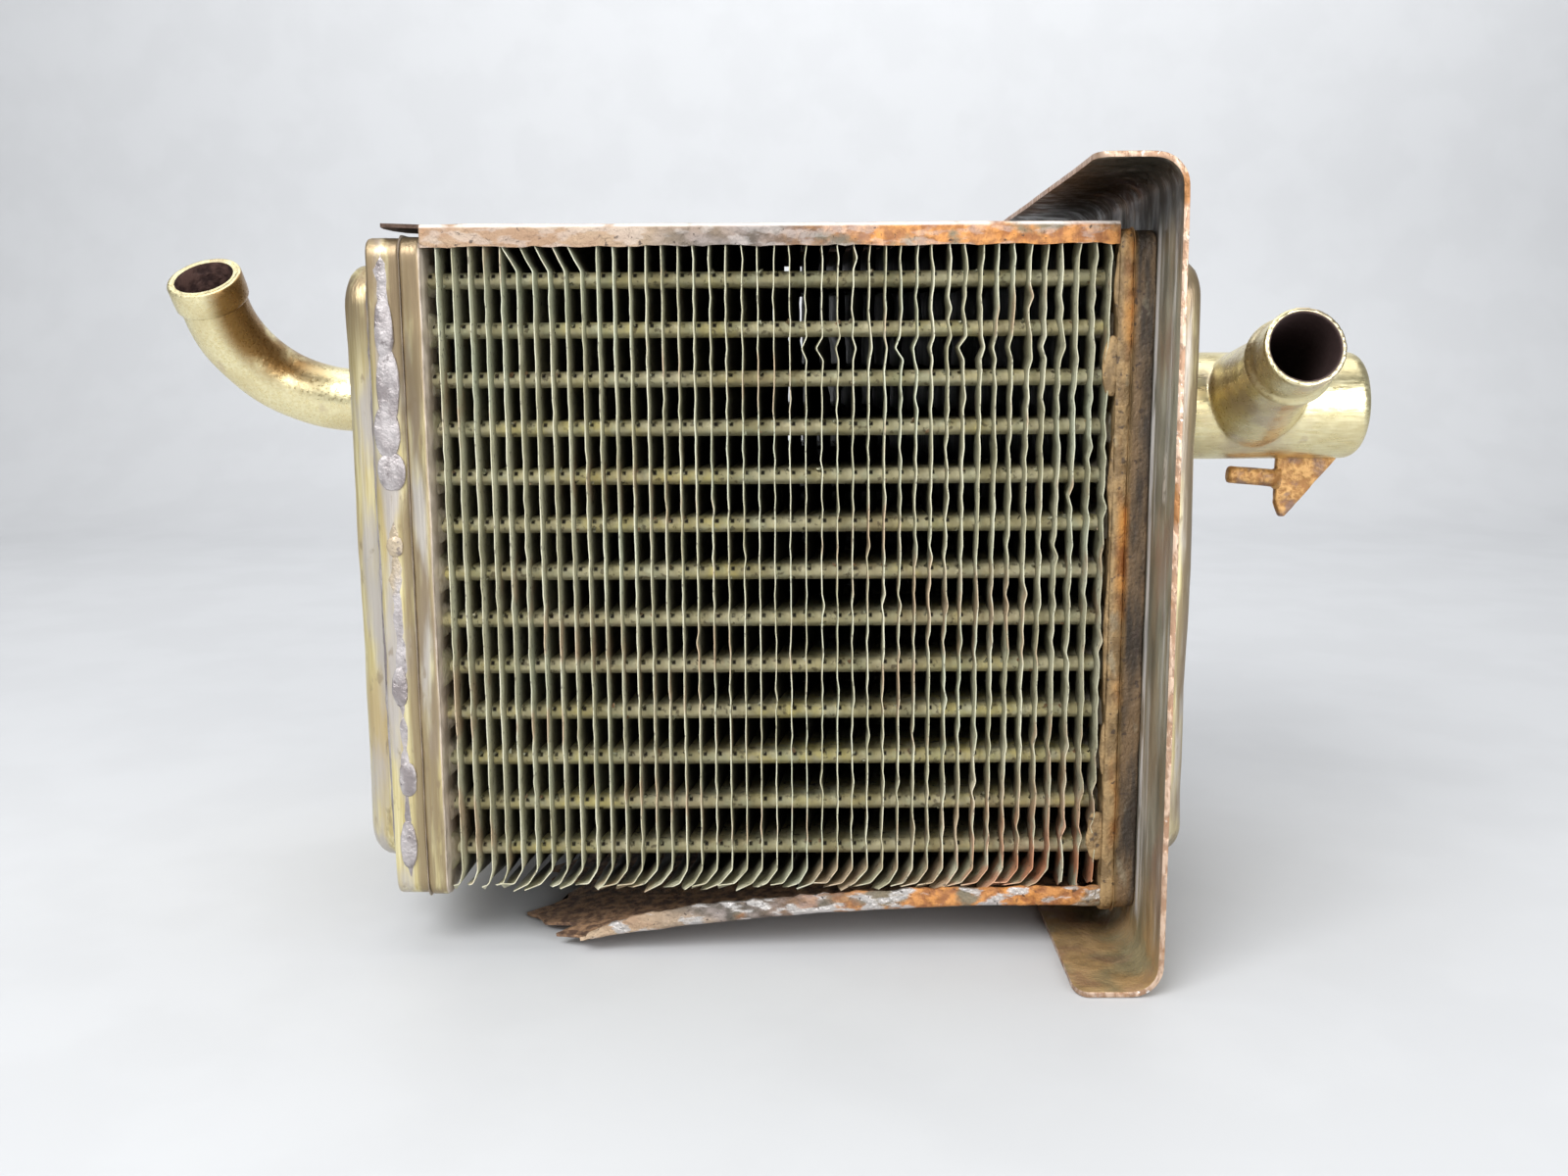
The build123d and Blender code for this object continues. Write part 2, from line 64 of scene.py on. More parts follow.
class Finish:
    """A material built up in layers over one Principled surface."""

    def __init__(self, name, metal=0.0, rough=0.5):
        self.material = bpy.data.materials.new(name)
        self.material.use_nodes = True
        self.nodes = self.material.node_tree.nodes
        self.links = self.material.node_tree.links
        self.surface = self.nodes["Principled BSDF"]
        self.surface.inputs["Metallic"].default_value = metal
        self.surface.inputs["Roughness"].default_value = rough
        self.place = self.nodes.new("ShaderNodeTexCoord").outputs["Object"]

    def put(self, value, socket):
        if isinstance(value, bpy.types.NodeSocket):
            self.links.new(value, socket)
        else:
            socket.default_value = value

    def stretched(self, stretch, shift):
        mapping = self.nodes.new("ShaderNodeMapping")
        mapping.inputs["Scale"].default_value = stretch
        mapping.inputs["Location"].default_value = shift
        self.links.new(self.place, mapping.inputs["Vector"])
        return mapping.outputs["Vector"]

    def mottle(self, size, low=0.4, high=0.6, stretch=(1, 1, 1), shift=(0, 0, 0), detail=5.0, wander=0.0):
        """Blotches about so many metres across, as a number that runs from 0 to 1."""
        noise = self.nodes.new("ShaderNodeTexNoise")
        noise.inputs["Scale"].default_value = 1 / size
        noise.inputs["Detail"].default_value = detail
        noise.inputs["Distortion"].default_value = wander
        self.links.new(self.stretched(stretch, shift), noise.inputs["Vector"])
        return self.between(noise.outputs["Fac"], low, high)

    def pits(self, size, low=0.0, high=0.3, stretch=(1, 1, 1), shift=(0, 0, 0)):
        """Small scattered cells: 0 at each cell's middle, 1 away from it."""
        cells = self.nodes.new("ShaderNodeTexVoronoi")
        cells.inputs["Scale"].default_value = 1 / size
        self.links.new(self.stretched(stretch, shift), cells.inputs["Vector"])
        return self.between(cells.outputs["Distance"], low, high)

    def between(self, value, low, high, out_low=0.0, out_high=1.0):
        ramp = self.nodes.new("ShaderNodeMapRange")
        ramp.interpolation_type = "SMOOTHSTEP"
        ends = {"From Min": low, "From Max": high, "To Min": out_low, "To Max": out_high}
        for socket, number in ends.items():
            ramp.inputs[socket].default_value = number
        self.links.new(value, ramp.inputs["Value"])
        return ramp.outputs["Result"]

    def along(self, axis, low, high):
        """Runs from 0 to 1 as a coordinate goes from low to high, in metres."""
        parts = self.nodes.new("ShaderNodeSeparateXYZ")
        self.links.new(self.place, parts.inputs["Vector"])
        return self.between(parts.outputs[axis], low, high)

    def band(self, axis, low, high, soft=0.001):
        """1 between two places along an axis, in metres, and 0 outside them."""
        return self.times(self.along(axis, low - soft, low), self.along(axis, high + soft, high))

    def repeat(self, axis, start, pitch, offset, reach):
        """A bump of height 1 at start + offset and at every pitch after it, falling to 0 within reach."""
        parts = self.nodes.new("ShaderNodeSeparateXYZ")
        self.links.new(self.place, parts.inputs["Vector"])
        wrap = self.nodes.new("ShaderNodeMath")
        wrap.operation = "WRAP"
        self.links.new(parts.outputs[axis], wrap.inputs[0])
        wrap.inputs[1].default_value = start + offset + pitch / 2
        wrap.inputs[2].default_value = start + offset - pitch / 2
        apart = self.nodes.new("ShaderNodeMath")
        apart.operation = "SUBTRACT"
        self.links.new(wrap.outputs[0], apart.inputs[0])
        apart.inputs[1].default_value = start + offset
        size = self.nodes.new("ShaderNodeMath")
        size.operation = "ABSOLUTE"
        self.links.new(apart.outputs[0], size.inputs[0])
        return self.between(size.outputs[0], reach, reach * 0.4)

    def off_axis(self, point, direction, near, far):
        """Runs from 0 at one distance from an axis to 1 at another."""
        minus = self.nodes.new("ShaderNodeVectorMath")
        minus.operation = "SUBTRACT"
        self.links.new(self.place, minus.inputs[0])
        minus.inputs[1].default_value = point
        cross = self.nodes.new("ShaderNodeVectorMath")
        cross.operation = "CROSS_PRODUCT"
        self.links.new(minus.outputs[0], cross.inputs[0])
        cross.inputs[1].default_value = direction
        length = self.nodes.new("ShaderNodeVectorMath")
        length.operation = "LENGTH"
        self.links.new(cross.outputs[0], length.inputs[0])
        return self.between(length.outputs["Value"], near, far)

    def facing(self, axis, low, high):
        """Runs from 0 to 1 as the surface turns towards an axis."""
        turned = self.nodes.new("ShaderNodeNewGeometry")
        parts = self.nodes.new("ShaderNodeSeparateXYZ")
        self.links.new(turned.outputs["Normal"], parts.inputs["Vector"])
        return self.between(parts.outputs[axis], low, high)

    def maths(self, operation, one, other):
        node = self.nodes.new("ShaderNodeMath")
        node.operation = operation
        node.use_clamp = True
        self.put(one, node.inputs[0])
        self.put(other, node.inputs[1])
        return node.outputs["Value"]

    def times(self, one, other):
        return self.maths("MULTIPLY", one, other)

    def layer(self, under, over, share):
        """Puts one colour over another where share is high."""
        mix = self.nodes.new("ShaderNodeMix")
        mix.data_type = "RGBA"
        self.put(share, mix.inputs[0])
        for colour, socket in ((under, mix.inputs[6]), (over, mix.inputs[7])):
            self.put(colour if isinstance(colour, bpy.types.NodeSocket) else (*colour, 1), socket)
        return mix.outputs[2]

    def base(self, under, over, share):
        """Starts the colour with two tones."""
        self.tone = self.layer(under, over, share)

    def wash(self, over, *shares):
        """Lays one more tone over the colour so far, where every share is high."""
        share = shares[0]
        for other in shares[1:]:
            share = self.times(share, other)
        self.tone = self.layer(self.tone, over, share)

    def blend(self, under, over, share):
        """Goes from one number to another where share is high."""
        mix = self.nodes.new("ShaderNodeMix")
        self.put(share, mix.inputs[0])
        self.put(under, mix.inputs[2])
        self.put(over, mix.inputs[3])
        return mix.outputs[0]

    def rough(self, value):
        self.put(value, self.surface.inputs["Roughness"])

    def metal(self, value):
        self.put(value, self.surface.inputs["Metallic"])

    def done(self, *heights):
        """Puts the colour on, then bumps, each a pattern with its depth in metres, and gives the material."""
        self.put(self.tone, self.surface.inputs["Base Color"])
        normal = None
        for pattern, depth in heights:
            bump = self.nodes.new("ShaderNodeBump")
            bump.inputs["Distance"].default_value = depth
            self.links.new(pattern, bump.inputs["Height"])
            if normal:
                self.links.new(normal, bump.inputs["Normal"])
            normal = bump.outputs["Normal"]
        if normal:
            self.links.new(normal, self.surface.inputs["Normal"])
        return self.material


def tube_patina():
    f = Finish("tube_patina", 0.25, 0.62)
    spots = f.mottle(0.004, 0.35, 0.65)
    f.base((0.52, 0.46, 0.26), (0.76, 0.70, 0.48), f.mottle(0.012, 0.3, 0.7))
    f.wash((0.80, 0.70, 0.32), spots, f.mottle(0.03, 0.45, 0.65, shift=(3, 1, 0)))
    f.wash((0.50, 0.56, 0.42), f.mottle(0.006, 0.5, 0.62, shift=(1, 5, 2)), 0.3)
    f.wash((0.12, 0.09, 0.05), f.mottle(0.0016, 0.58, 0.68, shift=(7, 0, 2)), 0.7)
    start = at(FIRST_FIN_X, 0, LOWEST_ROW_Z)
    # Painted shade: a small dark spot just right of each fin, a little above each tube's middle, where the
    # fin's slot opens.
    painted_slot_shade = f.times(f.repeat("X", start.x, FIN_PITCH / 1000, 0.0007, 0.0006),
                   f.repeat("Z", start.z, ROW_PITCH / 1000, 0.0009, 0.0006))
    f.wash((0.02, 0.015, 0.01), painted_slot_shade, f.mottle(0.004, 0.35, 0.5, shift=(0, 3, 9)))
    # Painted shade: a dark band along the underside of each tube.
    under = f.repeat("Z", start.z, ROW_PITCH / 1000, -0.0018, 0.0016)
    f.wash((0.10, 0.09, 0.05), under, 0.5)
    # Painted shade: the tubes turn nearly black towards the inside of the core.
    depth = f.along("Y", -0.0435, -0.016)
    f.wash((0.035, 0.03, 0.018), depth, 0.85)
    f.rough(f.blend(0.5, 0.75, spots))
    return f.done((f.mottle(0.0012, 0.3, 0.7), 0.00012), (f.pits(0.0022, 0.0, 0.35), 0.00008))


def fin_patina():
    f = Finish("fin_patina", 0.2, 0.6)
    streaks = f.mottle(0.005, 0.3, 0.7, stretch=(1, 1, 0.25))
    f.base((0.42, 0.40, 0.26), (0.64, 0.63, 0.48), streaks)
    f.wash((0.50, 0.58, 0.47), f.mottle(0.02, 0.5, 0.68, stretch=(1.6, 1, 0.7)), 0.35)
    f.wash((0.46, 0.30, 0.18), f.mottle(0.014, 0.55, 0.66, shift=(4, 2, 9)), 0.6)
    low_right = f.times(f.along("X", 0.015, 0.06), f.along("Z", 0.05, 0.016))
    f.wash((0.52, 0.24, 0.13), low_right, f.mottle(0.006, 0.38, 0.55))
    f.wash((0.07, 0.06, 0.04), f.mottle(0.0012, 0.6, 0.68), 0.7)
    # Painted shade: the fins darken nearly to black a little way in from the core's front face.
    f.wash((0.035, 0.03, 0.02), f.along("Y", -0.0496, -0.038), 0.92)
    f.rough(f.blend(0.45, 0.7, streaks))
    return f.done((f.mottle(0.002, 0.3, 0.7), 0.0001))


def brushed_brass():
    """Brass that a wire wheel has scratched up and down, with tin smeared along it."""
    f = Finish("brushed_brass", 0.75, 0.36)
    brush = f.mottle(0.0006, 0.25, 0.75, stretch=(1, 1, 0.03), detail=3.0)
    broad = f.mottle(0.005, 0.3, 0.7, stretch=(1, 1, 0.12))
    f.base((0.55, 0.45, 0.20), (0.80, 0.73, 0.44), brush)
    f.wash((0.50, 0.38, 0.21), f.mottle(0.012, 0.5, 0.68, stretch=(1.5, 1, 0.3)), 0.75)
    f.wash((0.50, 0.47, 0.47), f.mottle(0.01, 0.48, 0.62, stretch=(1.4, 1, 0.22), shift=(2, 7, 4)), 0.8)
    f.wash((0.30, 0.23, 0.15), f.mottle(0.0022, 0.6, 0.7, stretch=(1, 1, 0.4)), 0.6)
    stain = f.mottle(0.006, 0.25, 0.46, stretch=(1, 1, 0.35), shift=(9, 1, 1))
    f.wash((0.22, 0.155, 0.095), f.along("Z", 0.118, 0.148), stain, 0.85)
    smear = f.mottle(0.004, 0.34, 0.54, stretch=(1.4, 1, 0.14), shift=(0, 4, 6))
    f.wash((0.27, 0.20, 0.12), f.along("X", -0.0822, -0.0806), smear, 0.85)
    # The face that the tubes come out of was tinned all over before it was soldered.
    tinned = f.times(f.facing("X", 0.3, 0.8), f.along("X", -0.06, -0.07))
    f.wash(f.layer((0.46, 0.39, 0.31), (0.70, 0.61, 0.52), f.mottle(0.005, 0.35, 0.65)), tinned)
    f.metal(f.blend(0.75, 0.2, tinned))
    f.rough(f.blend(0.3, 0.52, broad))
    return f.done((brush, 0.00005), (broad, 0.00012))


def bright_brass(name, stretch, bored=False):
    """Brass polished bright, finely scratched along one way."""
    f = Finish(name, 0.95, 0.3)
    scratch = f.mottle(0.0007, 0.25, 0.75, stretch=stretch, detail=3.0)
    tarnish = f.mottle(0.012, 0.42, 0.66, wander=0.6)
    f.base((0.76, 0.66, 0.36), (0.90, 0.83, 0.54), scratch)
    f.wash((0.62, 0.50, 0.25), tarnish, 0.45)
    f.wash((0.50, 0.38, 0.27), f.mottle(0.007, 0.6, 0.7, shift=(5, 1, 3)), 0.4)
    rough = f.blend(0.24, 0.42, scratch)
    if not bored:
        # Painted reflection: faces turned to the right are browned dark, broken up by a mottle.
        f.wash((0.30, 0.18, 0.07), f.facing("X", 0.1, 0.6), f.mottle(0.012, 0.25, 0.45))
    else:
        heated = f.off_axis(at(*INLET_MOUTH), INLET_INWARD, 0.017, 0.0115)
        f.wash((0.50, 0.40, 0.32), heated, f.mottle(0.009, 0.4, 0.65, shift=(1, 1, 6)), 0.55)
        # Painted shadow: the manifold's left end by the neck is darkened olive, broken up by a mottle.
        f.wash((0.26, 0.22, 0.10), f.along("X", 0.104, 0.090), f.mottle(0.008, 0.36, 0.56))
        # Inside the stub's bore the colour is made near black and dull.
        inside = f.off_axis(at(*INLET_MOUTH), INLET_INWARD, 0.0082, 0.0078)
        inside = f.times(inside, f.along("Y", 0.0, -0.012))
        f.wash((0.05, 0.028, 0.026), inside)
        rough = f.blend(rough, 0.7, inside)
        f.metal(f.blend(1.0, 0.2, inside))
    f.rough(rough)
    return f.done((scratch, 0.00002), (f.mottle(0.003, 0.3, 0.7), 0.00006))


def pipe_bore():
    f = Finish("pipe_bore", 0.35, 0.65)
    scale = f.mottle(0.003, 0.35, 0.65)
    # The bore's wall is coloured near black in a mottle of dark browns.
    f.base((0.055, 0.03, 0.028), (0.16, 0.09, 0.075), scale)
    return f.done((scale, 0.0002))


def soft_solder():
    f = Finish("soft_solder", 0.45, 0.5)
    runs = f.mottle(0.004, 0.35, 0.65, stretch=(1, 1, 0.5))
    f.base((0.25, 0.22, 0.22), (0.44, 0.41, 0.41), runs)
    f.wash((0.46, 0.37, 0.24), f.mottle(0.009, 0.52, 0.66, stretch=(1, 1, 0.4)), 0.8)
    f.wash((0.12, 0.10, 0.10), f.mottle(0.0018, 0.6, 0.7), 0.7)
    f.rough(f.blend(0.3, 0.55, runs))
    return f.done((f.mottle(0.0025, 0.3, 0.7), 0.0003), (f.mottle(0.0008, 0.3, 0.7), 0.00006))


def root_solder():
    """Dull solder where the tubes enter the headers, greened over."""
    f = Finish("root_solder", 0.4, 0.55)
    f.base((0.54, 0.47, 0.37), (0.80, 0.72, 0.62), f.mottle(0.004, 0.35, 0.65))
    f.wash((0.44, 0.44, 0.27), f.mottle(0.007, 0.45, 0.65, shift=(1, 2, 3)), 0.7)
    # Painted shade: the roots darken towards the inside of the core.
    f.wash((0.04, 0.035, 0.025), f.along("Y", -0.045, -0.02), 0.8)
    return f.done((f.mottle(0.0016, 0.3, 0.7), 0.0002))


def torn_copper():
    """The torn lips of the fins' slots: coppery in patches, and mottled between painted dark shade and pale
    painted glints.
    """
    f = Finish("torn_copper", 0.6, 0.35)
    f.base((0.10, 0.09, 0.05), (0.62, 0.62, 0.46), f.mottle(0.0022, 0.42, 0.6, detail=2.0))
    f.wash((0.55, 0.33, 0.2), f.mottle(0.009, 0.55, 0.65, shift=(3, 3, 1)), 0.8)
    return f.done((f.mottle(0.0006, 0.3, 0.7), 0.0001))


def collar_rust():
    """The right header's rim: tan and orange by the core, dark brown by the flange."""
    f = Finish("collar_rust", 0.25, 0.6)
    crust = f.mottle(0.0025, 0.35, 0.65, stretch=(1, 1, 0.6))
    tan = f.layer((0.20, 0.13, 0.06), (0.40, 0.27, 0.13), crust)
    rust = f.layer((0.27, 0.10, 0.025), (0.54, 0.25, 0.06), crust)
    f.base(tan, rust, f.times(f.along("X", 0.0712, 0.0732), f.mottle(0.011, 0.38, 0.58, stretch=(1, 1, 0.4))))
    burnt = f.mottle(0.005, 0.4, 0.65, stretch=(1.5, 1, 0.25))
    dark = f.layer((0.05, 0.038, 0.028), (0.20, 0.13, 0.07), burnt)
    f.wash(dark, f.along("X", 0.0738, 0.0752), f.mottle(0.012, 0.15, 0.4, stretch=(1, 1, 0.3)))
    f.wash((0.36, 0.33, 0.24), f.mottle(0.005, 0.6, 0.7, stretch=(1, 1, 0.4), shift=(5, 0, 1)), 0.4)
    f.wash((0.06, 0.04, 0.03), f.mottle(0.0016, 0.6, 0.68), 0.8)
    f.rough(f.blend(0.45, 0.75, crust))
    return f.done((crust, 0.0002), (f.mottle(0.0009, 0.3, 0.7), 0.00012))


def plate_rust(name, scraped):
    """Thin steel plate gone orange at the right, tan at the left, with grey between and bare scrapes."""
    f = Finish(name, 0.2, 0.68)
    crust = f.mottle(0.0022, 0.35, 0.65)
    tan = f.layer((0.33, 0.21, 0.13), (0.45, 0.33, 0.22), f.mottle(0.006, 0.35, 0.65, stretch=(0.5, 1, 1)))
    grey = f.layer((0.10, 0.085, 0.07), (0.26, 0.22, 0.20), f.mottle(0.003, 0.4, 0.62, stretch=(0.7, 1, 1)))
    orange = f.layer((0.30, 0.11, 0.03), (0.62, 0.27, 0.07), crust)
    olive = f.mottle(0.008, 0.52, 0.62, stretch=(0.7, 1, 1), shift=(2, 0, 5))
    orange = f.layer(orange, (0.17, 0.16, 0.11), f.times(olive, 0.9))
    f.base(tan, grey, f.times(f.along("X", -0.045, -0.015), f.mottle(0.02, 0.3, 0.5, stretch=(0.5, 1, 1))))
    share = f.maths("ADD", f.times(f.along("X", -0.01, 0.03), 0.9), f.times(f.mottle(0.012, 0.6, 0.7), 0.5))
    f.wash(orange, share)
    bare = f.times(f.mottle(0.0032, 0.5, 0.58, stretch=(0.5, 1, 1.4), shift=(1, 2, 8)), scraped)
    if scraped > 0.5:
        # Only the torn plate's front lip is scraped bare; its web is brown with rust.
        f.wash(f.layer((0.10, 0.055, 0.035), (0.34, 0.20, 0.11), crust), f.along("Y", -0.0497, -0.0485))
        bare = f.times(bare, f.along("Y", -0.0485, -0.0497))
    f.wash((0.60, 0.57, 0.55), bare)
    f.wash((0.045, 0.03, 0.025), f.mottle(0.0014, 0.62, 0.7), 0.8)
    # Painted shade: the torn tongue over the left header is darkened nearly to black.
    f.wash((0.06, 0.032, 0.022), f.along("X", -0.0742, -0.0753), 0.92)
    # Painted highlight: a pale line along the top plate's front fold, broken up by a mottle.
    fold = f.times(f.along("Z", 0.1594, 0.1600), f.along("Y", -0.0490, -0.0500))
    f.wash((0.74, 0.66, 0.60), fold, f.along("X", -0.0752, -0.0742), f.mottle(0.008, 0.3, 0.5))
    f.metal(f.blend(0.1, 0.8, bare))
    f.rough(f.blend(0.75, 0.38, bare))
    return f.done((crust, 0.00025), (f.mottle(0.0008, 0.3, 0.7), 0.0001))


def flange_steel():
    """Dull grey-olive steel, brown with rust in streaks, scratched white up and down."""
    f = Finish("flange_steel", 0.55, 0.5)
    grain = f.mottle(0.0009, 0.3, 0.7, stretch=(1, 1, 0.05), detail=3.0)
    f.base((0.21, 0.20, 0.155), (0.40, 0.38, 0.31), f.mottle(0.01, 0.35, 0.65, stretch=(1.4, 1, 0.35)))
    f.wash((0.33, 0.23, 0.13), f.mottle(0.008, 0.45, 0.62, stretch=(1.5, 1, 0.3), shift=(6, 1, 2)), 0.5)
    # Partly rust colour, partly painted light: the foot and its bend are made paler and warmer, as if lit
    # from above.
    low = f.along("Z", 0.032, 0.004)
    f.wash(f.layer((0.34, 0.29, 0.16), (0.50, 0.33, 0.15), f.mottle(0.012, 0.35, 0.6)), low, 0.9)
    f.wash((0.30, 0.16, 0.12), f.mottle(0.012, 0.55, 0.65, stretch=(1, 1, 0.4), shift=(0, 8, 1)), 0.4)
    standing = f.along("Z", 0.006, 0.012)
    streaks = f.times(f.mottle(0.004, 0.5, 0.58, stretch=(2.5, 1, 0.06), shift=(3, 0, 0)), standing)
    f.wash((0.62, 0.60, 0.57), grain, streaks)
    # Painted shade: the top tab and its bend are darkened, most near the top, broken up by a mottle.
    f.wash((0.09, 0.07, 0.08), f.along("Z", 0.14, 0.172), f.mottle(0.01, 0.42, 0.6))
    f.wash((0.04, 0.038, 0.03), f.along("Z", 0.153, 0.164), f.mottle(0.016, 0.25, 0.5))
    # A painted highlight runs where the flange meets the header's rim, broken up by a mottle.
    painted_crease_highlight = f.times(f.band("Y", -0.0530, -0.0514, 0.0008), f.band("Z", 0.012, 0.156, 0.004))
    painted_crease_highlight = f.times(painted_crease_highlight, f.mottle(0.006, 0.36, 0.5, stretch=(1, 1, 0.3), shift=(2, 2, 7)))
    f.wash((0.78, 0.75, 0.72), painted_crease_highlight)
    scar = f.times(f.band("Y", -0.0640, -0.0624), f.band("Z", 0.104, 0.112, 0.002))
    f.wash((0.66, 0.61, 0.55), scar, f.mottle(0.002, 0.3, 0.5))
    f.rough(f.blend(0.36, 0.62, f.mottle(0.004, 0.35, 0.65, stretch=(1, 1, 0.3))))
    return f.done((grain, 0.00006), (f.mottle(0.006, 0.3, 0.7, stretch=(1, 1, 0.4)), 0.0003))


def flange_rim():
    """The flange's cut edge, rubbed to a paler coppery brown with bright nicks."""
    f = Finish("flange_rim", 0.6, 0.42)
    wear = f.mottle(0.0016, 0.4, 0.6, stretch=(1, 1, 0.5))
    f.base((0.36, 0.22, 0.14), (0.58, 0.42, 0.31), wear)
    f.wash((0.80, 0.76, 0.72), f.mottle(0.0009, 0.58, 0.64), f.mottle(0.014, 0.5, 0.62))
    f.wash((0.30, 0.14, 0.05), f.mottle(0.009, 0.56, 0.66, shift=(2, 2, 2)))
    return f.done((wear, 0.00015))


def bracket_rust():
    f = Finish("bracket_rust", 0.3, 0.52)
    crust = f.mottle(0.0018, 0.35, 0.65)
    f.base((0.36, 0.17, 0.05), (0.66, 0.38, 0.14), crust)
    f.wash((0.24, 0.15, 0.12), f.mottle(0.004, 0.5, 0.64), 0.8)
    return f.done((crust, 0.0002))


def pale_ground(name, tone):
    f = Finish(name, 0.0, 0.6)
    f.base(tone, tuple(t * 0.97 for t in tone), f.mottle(0.05))
    return f.done()


TUBE = tube_patina()
FIN = fin_patina()
BRASS = brushed_brass()
PIPE = bright_brass("bright_brass", (1, 1, 1))
MANIFOLD = bright_brass("manifold_brass", (0.15, 1, 1), bored=True)
BORE = pipe_bore()
SOLDER = soft_solder()
ROOT = root_solder()
NIB = torn_copper()
COLLAR = collar_rust()
TOP_PLATE = plate_rust("top_plate_rust", 0.25)
BOTTOM_PLATE = plate_rust("bottom_plate_rust", 0.95)
FLANGE = flange_steel()
RIM = flange_rim()
BRACKET = bracket_rust()

# ---------------------------------------------------------------- modelling by hand


def clear():
    if bpy.context.object and bpy.context.object.mode != "OBJECT":
        bpy.ops.object.mode_set(mode="OBJECT")
    bpy.ops.object.select_all(action="DESELECT")


def begin(name):
    """Goes into edit mode on the primitive just added, with its place already in its mesh."""
    piece = bpy.context.object
    piece.name = piece.data.name = name
    bpy.ops.object.transform_apply(location=True, rotation=True, scale=True)
    bpy.ops.object.mode_set(mode="EDIT")
    return piece


def middle(item):
    if isinstance(item, bmesh.types.BMVert):
        return item.co
    return sum((v.co for v in item.verts), Vector()) / len(item.verts)


def pick(kind, test):
    """Selects the vertices, edges or faces that pass a test of their middle, and of themselves."""
    bpy.ops.mesh.select_mode(type=kind)
    bpy.ops.mesh.select_all(action="DESELECT")
    mesh = bmesh.from_edit_mesh(bpy.context.object.data)
    found = {"VERT": mesh.verts, "EDGE": mesh.edges, "FACE": mesh.faces}[kind]
    for item in found:
        if test(middle(item), item):
            item.select = True
    mesh.select_flush_mode()
    bmesh.update_edit_mesh(bpy.context.object.data)


def move(x=0.0, y=0.0, z=0.0, spread=None):
    """Moves what is selected, and with a spread in metres draws its neighbours along."""
    if spread:
        bpy.ops.transform.translate(value=(x, y, z), use_proportional_edit=True, proportional_size=spread,
                                    proportional_edit_falloff="SMOOTH")
    else:
        bpy.ops.transform.translate(value=(x, y, z))


def take_all():
    bpy.ops.mesh.select_all(action="SELECT")


def face_out():
    """Turns every face outward."""
    take_all()
    bpy.ops.mesh.normals_make_consistent(inside=False)


def leave():
    bpy.ops.object.mode_set(mode="OBJECT")


def cut(point, normal, **sides):
    """Cuts the whole mesh across a plane, and clears and fills a side only if asked to."""
    take_all()
    bpy.ops.mesh.bisect(plane_co=point, plane_no=normal, **sides)


def draw_out(x=0.0, y=0.0, z=0.0):
    """Extrudes the chosen edges by so many millimetres."""
    bpy.ops.mesh.extrude_edges_move(TRANSFORM_OT_translate={"value": (x / 1000, y / 1000, z / 1000)})


def modify(piece, kind, **settings):
    """Adds a modifier and applies it."""
    bpy.context.view_layer.objects.active = piece
    made = piece.modifiers.new(kind.title(), kind)
    for key, value in settings.items():
        setattr(made, key, value)
    bpy.ops.object.modifier_apply(modifier=made.name)


def finish_piece(piece, material, slot, *stands_for, angle=40):
    """Leaves edit mode, shades the piece, and hands it to the frame."""
    clear()
    piece.select_set(True)
    bpy.context.view_layer.objects.active = piece
    bpy.ops.object.shade_smooth_by_angle(angle=math.radians(angle))
    if material and not piece.data.materials:
        piece.data.materials.append(material)
    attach(piece, "root")
    if stands_for:
        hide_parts(*stands_for)
    clear()
    return piece


# ---------------------------------------------------------------- fins

CRUSHED_ROW_Z = ROW_Z[-2]


def fin_levels():
    """The heights at which a fin can bend: either side of each tube and between the tubes."""
    levels = [KNEE_Z - TAIL_BEND, KNEE_Z]
    for z in ROW_Z:
        levels += [z - TUBE_HALF, z + TUBE_HALF, z + LOW_BEND, z + HIGH_BEND]
    return [z for z in levels if z < FIN_TOP_Z - 1]


